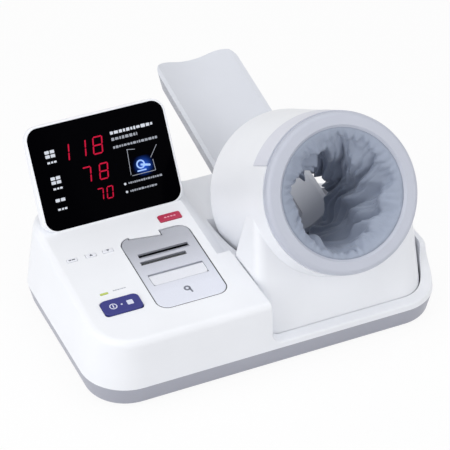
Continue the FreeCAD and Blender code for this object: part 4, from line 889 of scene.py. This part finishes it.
@dataclass
class PanelMarks:
    """The panel's marks on the buttons, beside the lamp and on the printer's cover, the cover's tear bar, and a
    dark strip of painted shadow in the gap round the cover.

    Attributes:
        start: middle of the start button on the panel, in millimetres.
        stop: middle of the red button.
        keys: middles of the three keys across the panel.
        key_y: the keys' place along the panel.
        lamp: middle of the lamp.
        cover_x: middle of the printer's cover.
        cover_half: half its width.
        cover_front: its front edge.
        cover_corner: radius of its corners.
        slot: (left end, right end) of the tear bar from the cover's middle, and its rear edge on the panel.
        teeth: teeth of the tear bar.
        shadow_reach: how far the dark strip of painted shadow reaches out from the cover's edge into the gap.
        shadow_ends: where the strip ends towards the hinge.
    """

    start: tuple[float, float] = (-171.0, 66.5)
    stop: tuple[float, float] = (-56.5, 192.5)
    keys: tuple[float, float, float] = (-196.0, -172.0, -150.0)
    key_y: float = 162.5
    lamp: tuple[float, float] = (-182.7, 92.6)
    cover_x: float = -87.7
    cover_half: float = 44.35
    cover_front: float = 42.0
    cover_corner: float = 14.0
    slot: tuple[float, float, float] = (-35.0, 23.5, 124.3)
    teeth: int = 39
    shadow_reach: float = 0.8
    shadow_ends: float = 150.0

    def build(self) -> None:
        """Set the tear bar, lay the painted shadow in the cover's gap, and print all the marks."""
        self.tear_bar_and_slot_shade()
        self.gap_shadow_strip()
        self.on_start()
        self.on_stop()
        self.on_keys()
        self.beside_lamp()
        self.on_cover()

    def tear_bar_and_slot_shade(self) -> None:
        """Set a black tear bar with fine teeth along the front edge of the paper's slot, black partly as
        painted shade there.
        """
        # partly painted shade: a real kind of tear bar, made black so that the slot's front edge reads as dark
        # as its shade
        bar = Stencil(PANEL, 0.0, 0.4)
        left, right, back = self.cover_x + self.slot[0], self.cover_x + self.slot[1], self.slot[2]
        bar.bar((left + right) / 2, back - 1.3, right - left, 1.6, 0.3)
        for tooth in range(self.teeth):
            x = left + (right - left) * (tooth + 0.5) / self.teeth
            bar.shape([(x - 0.65, back - 0.6), (x + 0.65, back - 0.6), (x, back + 0.1)])
        bar.publish("tear_bar_and_slot_shade", FINISHES["black_plastic"], "printer_cover", "black_plastic")

    def gap_shadow_strip(self) -> None:
        """Lay a thin dark strip of painted shadow in the gap round the front and the sides of the printer's
        cover.
        """
        # painted shadow: a dark grey strip set just under the panel's face in the gap round the cover, where
        # there is only shade
        shadow_strip = Stencil(PANEL, -2.0, 1.85)
        half = self.cover_half + self.shadow_reach
        shadow_strip.band(self.shadow_reach + 0.1, self.cover_x - half, self.cover_x + half, self.cover_front - self.shadow_reach,
                  self.shadow_ends, self.cover_corner + self.shadow_reach)
        shadow_strip.publish("cover_gap_painted_shadow", FINISHES["rubber_grey"], "printer_cover", "rubber_grey")

    def on_start(self) -> None:
        """Print a ring with a bar, a dot and a square: run and stop."""
        x, y = self.start
        mark = Stencil(PANEL, 2.0)
        mark.ring(x - 10.5, y, 4.8, 3.5)
        mark.bar(x - 10.5, y, 1.4, 5.0, 0.4)
        mark.ring(x, y, 1.2, 0.0)
        mark.bar(x + 10.5, y, 7.6, 7.6, 1.1)
        white = Moulded("white_pad_print", "#D6DAEC", 0.5, grain=0.3)
        mark.publish("start_mark", white, "start_stop_button", "white_shell")

    def on_stop(self) -> None:
        """Print four short dashes."""
        x, y = self.stop
        mark = Stencil(PANEL, 1.6)
        for step in range(4):
            mark.bar(x - 6.0 + 4.0 * step, y - 0.4, 2.8, 1.9, 0.4)
        pink = Moulded("pale_pink_pad_print", "#E9A9BB", 0.5, grain=0.3)
        mark.publish("stop_mark", pink, "emergency_button", "white_shell")

    def on_keys(self) -> None:
        """Print a dash on the first key, and a triangle each way on the other two."""
        grey = Moulded("grey_pad_print", "#565A66", 0.5, grain=0.3)
        for name, x, side in zip(("set_key", "up_key", "down_key"), self.keys, (0, 1, -1)):
            mark = Stencil(PANEL, 0.9)
            if side:
                tip = side * 1.9
                corners = [(x - 2.1, self.key_y - tip), (x + 2.1, self.key_y - tip), (x, self.key_y + tip)]
                mark.shape(corners if side > 0 else corners[::-1])
            else:
                mark.bar(x - 2.6, self.key_y, 3.2, 1.7, 0.3)
                mark.bar(x + 1.9, self.key_y, 4.2, 1.7, 0.3)
            mark.publish(name + "_mark", grey, name, "black_plastic")

    def beside_lamp(self) -> None:
        """Print a thin grey line of plain dashes to the right of the lamp."""
        x, y = self.lamp
        mark = Stencil(PANEL, 0.0)
        mark.words(x + 11.5, y + 1.2, 16.5, 1.5, 5, 1.3)
        pale = Moulded("pale_grey_pad_print", "#A5A9B5", 0.5, grain=0.3)
        mark.publish("lamp_mark", pale, "base", "grey_band")

    def on_cover(self) -> None:
        """Print a paper roll with its tail near the cover's front edge."""
        mark = Stencil(PANEL, 0.0)
        x, y = self.cover_x - 0.6, self.cover_front + 21.5
        mark.ring(x, y + 1.8, 4.3, 1.9)
        mark.bar(x + 3.1, y - 2.6, 2.3, 8.4, 0.5, 8)
        grey = Moulded("dark_grey_pad_print", "#6F7380", 0.5, grain=0.3)
        mark.publish("roll_mark", grey, "printer_cover", "black_plastic")


# ---------------------------------------------------------------- cloth sleeve
@dataclass(frozen=True)
class Station:
    """A section of the sleeve, in millimetres.

    Attributes:
        along: distance from the ring's face.
        across: half its width.
        up: how far its top is over the tunnel's axis.
        down: how far its bottom is under the axis.
    """

    along: float
    across: float
    up: float
    down: float


def smooth_through(places: list[float], sizes: list[float], at: float) -> float:
    """Pass a smooth curve through four sizes.

    Args:
        places: where the four sizes are.
        sizes: the sizes.
        at: where a size is wanted, between the second place and the third.

    Returns:
        The size there.
    """
    (z0, z1, z2, z3), (p0, p1, p2, p3) = places, sizes
    t = min(max((at - z1) / (z2 - z1), 0.0), 1.0)
    m1 = (p2 - p0) / (z2 - z0) * (z2 - z1)
    m2 = (p3 - p1) / (z3 - z1) * (z2 - z1)
    return ((2 * t**3 - 3 * t**2 + 1) * p1 + (t**3 - 2 * t**2 + t) * m1
            + (3 * t**2 - 2 * t**3) * p2 + (t**3 - t**2) * m2)


def round_axis(radius: float, turn: float, along: float) -> Vector:
    """Give the point at a radius and an angle round the Z axis, and at a place along it."""
    return Vector((radius * math.cos(turn), radius * math.sin(turn), along))


@dataclass
class Sleeve:
    """Stretch sleeve in the tunnel: a gathered tube of cloth, twisted and drawn in to a waist.

    The cloth is cut wider than the rings that hold its hems. It is simulated with its rear hem turned, which
    gives it its ripples, and then set to the tunnel's own sections, with broad folds along the same turn.
    Sizes are in millimetres, and angles round the axis start at the right side and go downwards.

    Attributes:
        MAP: name of the map of the flat cut.
        FABRIC: the cloth's mass, stiffness and damping in the simulation.
        GRAVITY: share of gravity that it feels, picked by its look.
        stations: its sections from the front hem to the rear hem.
        columns: faces round it.
        rows: faces along it.
        girth: the cut's width.
        length: the cut's length.
        hem: radius at which the rings hold it.
        twist: degrees that the rear hem is turned.
        seeds: ripples round it that the cloth starts from.
        seed_swell: how far they stand out, as a share of the radius.
        folds: broad folds round it.
        creases: sharper creases round it.
        fold_deep: depth of a middling fold.
        fold_mix: shares of the depth that a broad fold and a crease take.
        fold_sizes: (mean, spread, least) size of a fold, as shares of its depth.
        fold_fall: share of the depth at the front hem, and how much of it is lost at the rear hem.
        fold_starts: distances from the front and the rear hem at which the folds are full.
        wander: how far a fold strays from its line, in radians.
        flatter: (middle, half width, share) of the bottom, where the folds are flatter, in degrees.
        ripple_deep: depth that the simulated ripples are given.
        ripple_span: least spread of the radii in a row that counts as full ripples.
        gathers: small pleats at each hem.
        gather_deep: their depth at the front hem.
        gather_rear: depth of those at the rear hem, as a share of it.
        gather_fades: distances from the hems over which they fade.
        gather_starts: distances from the hems at which they are full.
        rolls: (middle, half width, strength) of the loose rolls behind the front hem, in degrees.
        crest: (height, place, width) of a roll.
        dip: (depth, place, width) of the hollow behind it.
        thick: the cloth's thickness.
        frames: length of the simulation.
        model: simulated units to a millimetre, as cloth settles better at this size.
    """

    MAP: ClassVar[str] = "cut"
    FABRIC: ClassVar[dict[str, float]] = {
        "quality": 5, "mass": 0.2, "tension_stiffness": 20.0, "compression_stiffness": 12.0,
        "shear_stiffness": 4.0, "bending_stiffness": 0.6, "air_damping": 2.0}
    GRAVITY: ClassVar[float] = 0.15

    stations: tuple[Station, ...] = (
        Station(3.0, 77.8, 77.8, 77.8), Station(6.0, 74.8, 74.8, 74.8), Station(14.0, 73.5, 73.5, 75.0),
        Station(36.0, 67.0, 65.0, 73.5), Station(70.0, 60.0, 56.0, 70.0), Station(107.0, 51.0, 41.0, 65.0),
        Station(141.0, 52.0, 38.0, 63.0), Station(158.0, 57.0, 47.0, 62.0), Station(168.0, 67.5, 67.5, 67.5))
    columns: int = 220
    rows: int = 52
    girth: float = 505.0
    length: float = 206.0
    hem: float = 74.0
    twist: float = 122.0
    seeds: int = 13
    seed_swell: float = 0.035
    folds: int = 10
    creases: int = 27
    fold_deep: float = 19.0
    fold_mix: tuple[float, float] = (0.8, 0.34)
    fold_sizes: tuple[float, float, float] = (0.8, 0.9, 0.15)
    fold_fall: tuple[float, float] = (1.15, 0.4)
    fold_starts: tuple[float, float] = (30.0, 18.0)
    wander: float = 0.32
    flatter: tuple[float, float, float] = (104.0, 26.0, 0.75)
    ripple_deep: float = 3.0
    ripple_span: float = 4.0
    gathers: int = 42
    gather_deep: float = 7.0
    gather_rear: float = 0.8
    gather_fades: tuple[float, float] = (22.0, 9.0)
    gather_starts: tuple[float, float] = (5.0, 4.0)
    rolls: tuple[tuple[float, float, float], ...] = (
        (44.0, 44.0, 1.0), (-146.0, 54.0, 0.85), (172.0, 42.0, 0.75))
    crest: tuple[float, float, float] = (8.5, 18.0, 7.5)
    dip: tuple[float, float, float] = (7.0, 37.0, 8.0)
    thick: float = 0.9
    frames: int = 24
    model: float = 0.02

    @property
    def hems(self) -> tuple[float, float]:
        """Places of the front and the rear hem along the tunnel."""
        return self.stations[0].along, self.stations[-1].along

    def build(self) -> None:
        """Cut the cloth, let it settle, and fit it into the tunnel."""
        mesh = self.cut_out()
        spots = [(math.atan2(v.co.y, v.co.x), (v.co.z + self.length / 2) / self.length) for v in mesh.verts]
        start = [self.stretched(turn, share) for turn, share in spots]
        settled = self.settle(mesh, start)
        for vert, place in zip(mesh.verts, self.fit(spots, settled)):
            vert.co = place
        piece = publish("gathered_sleeve", mesh, TUNNEL.matrix(), FINISHES["cloth"], "arm_unit",
                        smooth=True)
        smooth = piece.modifiers.new("cloth smoothing", "SUBSURF")
        smooth.levels = smooth.render_levels = 1
        wall = piece.modifiers.new("cloth thickness", "SOLIDIFY")
        wall.thickness = self.thick * MM
        wall.offset = 0.0
        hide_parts("cloth_sleeve")

    def cut_out(self) -> Mesh:
        """Cut a rectangle, map it, roll it up and sew its seam.

        Returns:
            The tube, in millimetres, with its axis along Z.
        """
        mesh = bmesh.new()
        layer = mesh.loops.layers.uv.new(self.MAP)
        bmesh.ops.create_grid(mesh, x_segments=self.columns, y_segments=self.rows, size=0.5)
        for face in mesh.faces:
            for loop in face.loops:
                flat = loop.vert.co
                loop[layer].uv = (flat.x * self.girth * MM, flat.y * self.length * MM)
        radius = self.girth / (2 * math.pi)
        for vert in mesh.verts:
            vert.co = round_axis(radius, vert.co.x * 2 * math.pi, vert.co.y * self.length)
        bmesh.ops.remove_doubles(mesh, verts=mesh.verts[:], dist=0.01)
        mesh.verts.ensure_lookup_table()
        return mesh

    def stretched(self, turn: float, share: float) -> Vector:
        """Place a point on the straight line from the front hem to the turned rear hem.

        Args:
            turn: its angle on the front hem.
            share: 0 at the front hem, 1 at the rear hem.

        Returns:
            The point in the tunnel's frame.
        """
        first, last = self.hems
        end = round_axis(self.hem, turn + math.radians(self.twist), last)
        place = round_axis(self.hem, turn, first).lerp(end, share)
        stir = noise.noise(round_axis(1.6, turn, 1.3 * share))
        wave = math.cos(self.seeds * turn + 5.0 * stir) + 0.6 * math.cos(2.3 * self.seeds * turn + 9.0 * stir)
        swell = 1 + self.seed_swell * wave * math.sin(math.pi * share)
        return Vector((place.x * swell, place.y * swell, place.z))

    def settle(self, mesh: Mesh, start: list[Vector]) -> list[Vector]:
        """Let the cloth ripple between its two held hems.

        Args:
            mesh: the tube in its flat lengths.
            start: where each point starts.

        Returns:
            Where each point comes to rest.
        """
        data = bpy.data.meshes.new("cloth_trial")
        mesh.to_mesh(data)
        trial = stand("cloth_trial", data)
        trial.shape_key_add(name="start")
        rest = trial.shape_key_add(name="flat lengths")
        for begin, flat, vert, place in zip(data.shape_keys.key_blocks[0].data, rest.data, mesh.verts, start):
            flat.co = vert.co * self.model
            begin.co = place * self.model
        for vert, place in zip(data.vertices, start):
            vert.co = place * self.model
        held = trial.vertex_groups.new(name="hems")
        held.add([v.index for v in mesh.verts if v.is_boundary], 1.0, "REPLACE")
        cloth = trial.modifiers.new("settle", "CLOTH")
        for name, value in self.FABRIC.items():
            setattr(cloth.settings, name, value)
        cloth.settings.vertex_group_mass = held.name
        cloth.settings.rest_shape_key = rest
        cloth.settings.effector_weights.gravity = self.GRAVITY
        cloth.collision_settings.use_collision = False
        cloth.point_cache.frame_end = self.frames
        scene = bpy.context.scene
        for step in range(1, self.frames + 1):
            scene.frame_set(step)
        shaped = trial.evaluated_get(bpy.context.evaluated_depsgraph_get()).data
        places = [vert.co / self.model for vert in shaped.vertices]
        bpy.data.objects.remove(trial)
        bpy.data.meshes.remove(data)
        scene.frame_set(1)
        return places

    def fit(self, spots: list[tuple[float, float]], settled: list[Vector]) -> list[Vector]:
        """Set the rippled cloth to the tunnel's sections, with its folds, pleats and rolls.

        Args:
            spots: each point's angle and its share of the length, on the cut.
            settled: where each point came to rest.

        Returns:
            Each point's place in the tunnel's frame.
        """
        rings: list[list[float]] = [[] for _ in range(self.rows + 1)]
        for (_, share), place in zip(spots, settled):
            rings[round(share * self.rows)].append(math.hypot(place.x, place.y))
        spans = []
        for ring in rings:
            ring.sort()
            strays = len(ring) // 20
            low, high = ring[strays], ring[-1 - strays]
            spans.append((high, max(high - low, self.ripple_span)))
        (first, last), (begin, end) = self.hems, self.fold_starts
        places = []
        for (_, share), place in zip(spots, settled):
            along = min(max(place.z, first), last)
            turn = math.atan2(place.y, place.x)
            high, span = spans[round(share * self.rows)]
            ripple = min(max((high - math.hypot(place.x, place.y)) / span, 0.0), 1.15)
            held = min(1.0, (along - first) / begin) * min(1.0, (last - along) / end)
            deep = held * (self.fold_deep * self.fold(turn, along) + self.ripple_deep * ripple)
            places.append(self.point(turn, along, deep + self.pleats(turn, along) + self.roll(turn, along)))
        return places

    def fold(self, turn: float, along: float) -> float:
        """Give the broad folds and their creases: round towards the axis, and sharp in between.

        Args:
            turn: angle round the axis.
            along: distance from the ring's face.

        Returns:
            The depth there, in depths of a middling fold.
        """
        first, last = self.hems
        share = (along - first) / (last - first)
        spot = round_axis(1.5, turn, along / 60)
        phase = turn - math.radians(self.twist) * share + self.wander * noise.noise(spot)
        mean, spread, least = self.fold_sizes
        size = mean + spread * noise.noise(spot * 1.3 + Vector((9, 6, 2)))    # away from where it wanders
        middle, half, flat = self.flatter
        size *= 1 - flat * math.exp(-((math.degrees(turn) - middle) / half) ** 2)
        broad = abs(math.cos(self.folds / 2 * phase)) ** 0.65
        crease = abs(math.cos(self.creases / 2 * phase + 1.0 + 1.5 * noise.noise(spot * 1.7))) ** 0.7
        (front, lost), (most, rest) = self.fold_fall, self.fold_mix
        return max(size, least) * (front - lost * share) * (most * broad + rest * crease)

    def section(self, along: float) -> Station:
        """Blend the stations smoothly.

        Args:
            along: distance from the ring's face.

        Returns:
            The section there.
        """
        final = len(self.stations) - 1
        after = max(next((i for i, s in enumerate(self.stations) if s.along > along), final), 1)
        near = [self.stations[i] for i in (max(after - 2, 0), after - 1, after, min(after + 1, final))]
        places = [s.along for s in near]
        return Station(along, *(smooth_through(places, [getattr(s, name) for s in near], along)
                                for name in ("across", "up", "down")))

    def point(self, turn: float, along: float, deep: float) -> Vector:
        """Place a point of the cloth.

        Args:
            turn: angle round the axis.
            along: distance from the ring's face.
            deep: how far it is folded in.

        Returns:
            The point in the tunnel's frame.
        """
        part = self.section(along)
        reach = part.down if math.sin(turn) > 0 else part.up
        rim = Vector((part.across * math.cos(turn), reach * math.sin(turn), along))
        keep = 1 - deep / math.hypot(rim.x, rim.y)
        return Vector((rim.x * keep, rim.y * keep, along))

    def pleats(self, turn: float, along: float) -> float:
        """Give the depth of the small pleats beside the hems.

        Args:
            turn: angle round the axis.
            along: distance from the ring's face.

        Returns:
            The depth, in millimetres.
        """
        first, last = self.hems
        spot = round_axis(1.7, turn, along / 45)
        (front, rear), (begin, end) = self.gather_fades, self.gather_starts
        near = math.exp(-(along - first) / front) + self.gather_rear * math.exp(-(last - along) / rear)
        near *= min(1.0, (along - first) / begin, (last - along) / end)
        wave = abs(math.cos(self.gathers / 2 * (turn + 0.12 * noise.noise(spot * 3.1))))
        return self.gather_deep * near * wave * (0.7 + 0.9 * abs(noise.noise(spot * 2.3 + Vector((2, 9, 4)))))

    def roll(self, turn: float, along: float) -> float:
        """Give the depth of the loose rolls behind the front hem, at the lower right and the upper left.

        Args:
            turn: angle round the axis.
            along: distance from the ring's face.

        Returns:
            The depth, in millimetres, and less than 0 in the hollow behind a roll.
        """
        share = 0.0
        for middle, half, strength in self.rolls:
            away = (math.degrees(turn) - middle + 180) % 360 - 180
            share = max(share, strength * max(0.0, 1 - (away / half) ** 2) ** 0.5)
        (high, top, wide), (low, bottom, broad) = self.crest, self.dip
        crest = high * math.exp(-((along - top) / wide) ** 2)
        return share * (crest - low * math.exp(-((along - bottom) / broad) ** 2))


# ---------------------------------------------------------------- casings
class Casings:
    """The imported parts: each keeps its shape and gets the finish of its slot."""

    def build(self) -> None:
        """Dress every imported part."""
        slots = {part["node"]: part["material_slot"] for part in frame["record"]["subparts"]}
        for name, part in frame["nodes"].items():
            finish = FINISHES[slots[name]]
            if part.material_slots:
                for slot in part.material_slots:
                    slot.material = finish.material()
            else:
                part.data.materials.append(finish.material())
            log.info("%s: %s", name, finish.name)


# ---------------------------------------------------------------- studio
@dataclass(frozen=True)
class Lamp:
    """A square soft light that points at the object's middle.

    Attributes:
        name: the light's name.
        place: where it hangs, in metres.
        size: its side, in metres.
        watts: its power.
    """

    name: str
    place: tuple[float, float, float]
    size: float
    watts: float

    def hang(self) -> None:
        """Hang it and point it at the object's middle."""
        data = bpy.data.lights.new(self.name, "AREA")
        data.size = self.size
        data.energy = self.watts
        light = stand(self.name, data)
        light.location = self.place
        light.rotation_euler = (Vector((0, 0, 0.1)) - Vector(self.place)).to_track_quat("-Z", "Y").to_euler()


@dataclass
class Studio:
    """White table, soft lights and the camera.

    Attributes:
        eye: the camera's place, in metres.
        azimuth: degrees to the right of +Y that it looks.
        elevation: degrees that it looks down.
        lens: focal length in millimetres for a 36 mm sensor.
        sky: strength of the light from all round.
        lamps: the lamps.
        white: how much of the table is plain white to the camera, so that only a faint shadow is left.
    """

    eye: tuple[float, float, float] = (-0.84225, -1.95359, 1.6136)
    azimuth: float = 24.34
    elevation: float = 36.41
    lens: float = 166.4
    sky: float = 0.36
    lamps: tuple[Lamp, ...] = (Lamp("left window", (-1.6, -0.5, 0.95), 1.8, 20.0),
                               Lamp("overhead panel", (0.2, 0.0, 1.9), 1.8, 13.0),
                               Lamp("front fill", (1.2, -1.7, 1.0), 1.6, 11.5))
    white: float = 0.92

    def build(self) -> None:
        """Set up the table, the lights and the camera."""
        self.floor()
        self.world()
        for lamp in self.lamps:
            lamp.hang()
        self.camera()
        bpy.context.scene.view_settings.view_transform = "Standard"

    def floor(self) -> None:
        """Lay a white table that keeps a faint shadow."""
        mesh = bmesh.new()
        bmesh.ops.create_grid(mesh, x_segments=1, y_segments=1, size=15.0)
        data = bpy.data.meshes.new("table_top")
        mesh.to_mesh(data)
        mesh.free()
        table = stand("table_top", data)
        matt = bpy.data.materials.new("white_table")
        tree = bare_tree(matt)
        part = add_node(tree, "Math", {0: self.seen_by_eye(tree), 1: self.white}, operation="MULTIPLY")
        paint = add_node(tree, "BsdfDiffuse", {"Color": linear("#F4F4F5")})
        bright = add_node(tree, "Emission", {"Color": linear("#FFFFFF"), "Strength": 1.0})
        both = add_node(tree, "MixShader", {0: part, 1: paint, 2: bright})
        add_node(tree, "OutputMaterial", {"Surface": both})
        data.materials.append(matt)

    @staticmethod
    def seen_by_eye(tree: Tree) -> Node:
        """Give 1 for rays from the camera and for what gloss and glass show, and 0 for the rest.

        Args:
            tree: the node tree that it goes into.

        Returns:
            The node that gives it.
        """
        path = add_node(tree, "LightPath").outputs
        rays = {0: path["Is Camera Ray"], 1: path["Is Glossy Ray"]}
        gloss = add_node(tree, "Math", rays, operation="MAXIMUM")
        return add_node(tree, "Math", {0: gloss, 1: path["Is Transmission Ray"]}, operation="MAXIMUM")

    def world(self) -> None:
        """Light the object evenly from all round, and show white behind it."""
        world = bpy.data.worlds.new("white room")
        bpy.context.scene.world = world
        tree = bare_tree(world)
        seen = self.seen_by_eye(tree)
        level = add_node(tree, "MapRange", {"Value": seen, "To Min": self.sky, "To Max": 1.0})
        light = add_node(tree, "Background", {"Color": linear("#FFFFFF"), "Strength": level})
        add_node(tree, "OutputWorld", {"Surface": light})

    def camera(self) -> None:
        """Stand the camera to the left, looking down at the object."""
        data = bpy.data.cameras.new("front_left_camera")
        data.lens = self.lens
        data.sensor_width = 36.0
        data.clip_end = 50.0
        eye = stand("front_left_camera", data)
        eye.location = self.eye
        eye.rotation_euler = (math.radians(90 - self.elevation), 0.0, math.radians(-self.azimuth))
        bpy.context.scene.camera = eye


def main() -> None:
    """Build everything in order."""
    logging.basicConfig(level=logging.INFO, format="%(name)s %(message)s")
    for part in (Studio(), Casings(), Sleeve(), Display(), PanelMarks()):
        part.build()
        log.info("%s is done", type(part).__name__)


if __name__ == "__main__":
    main()
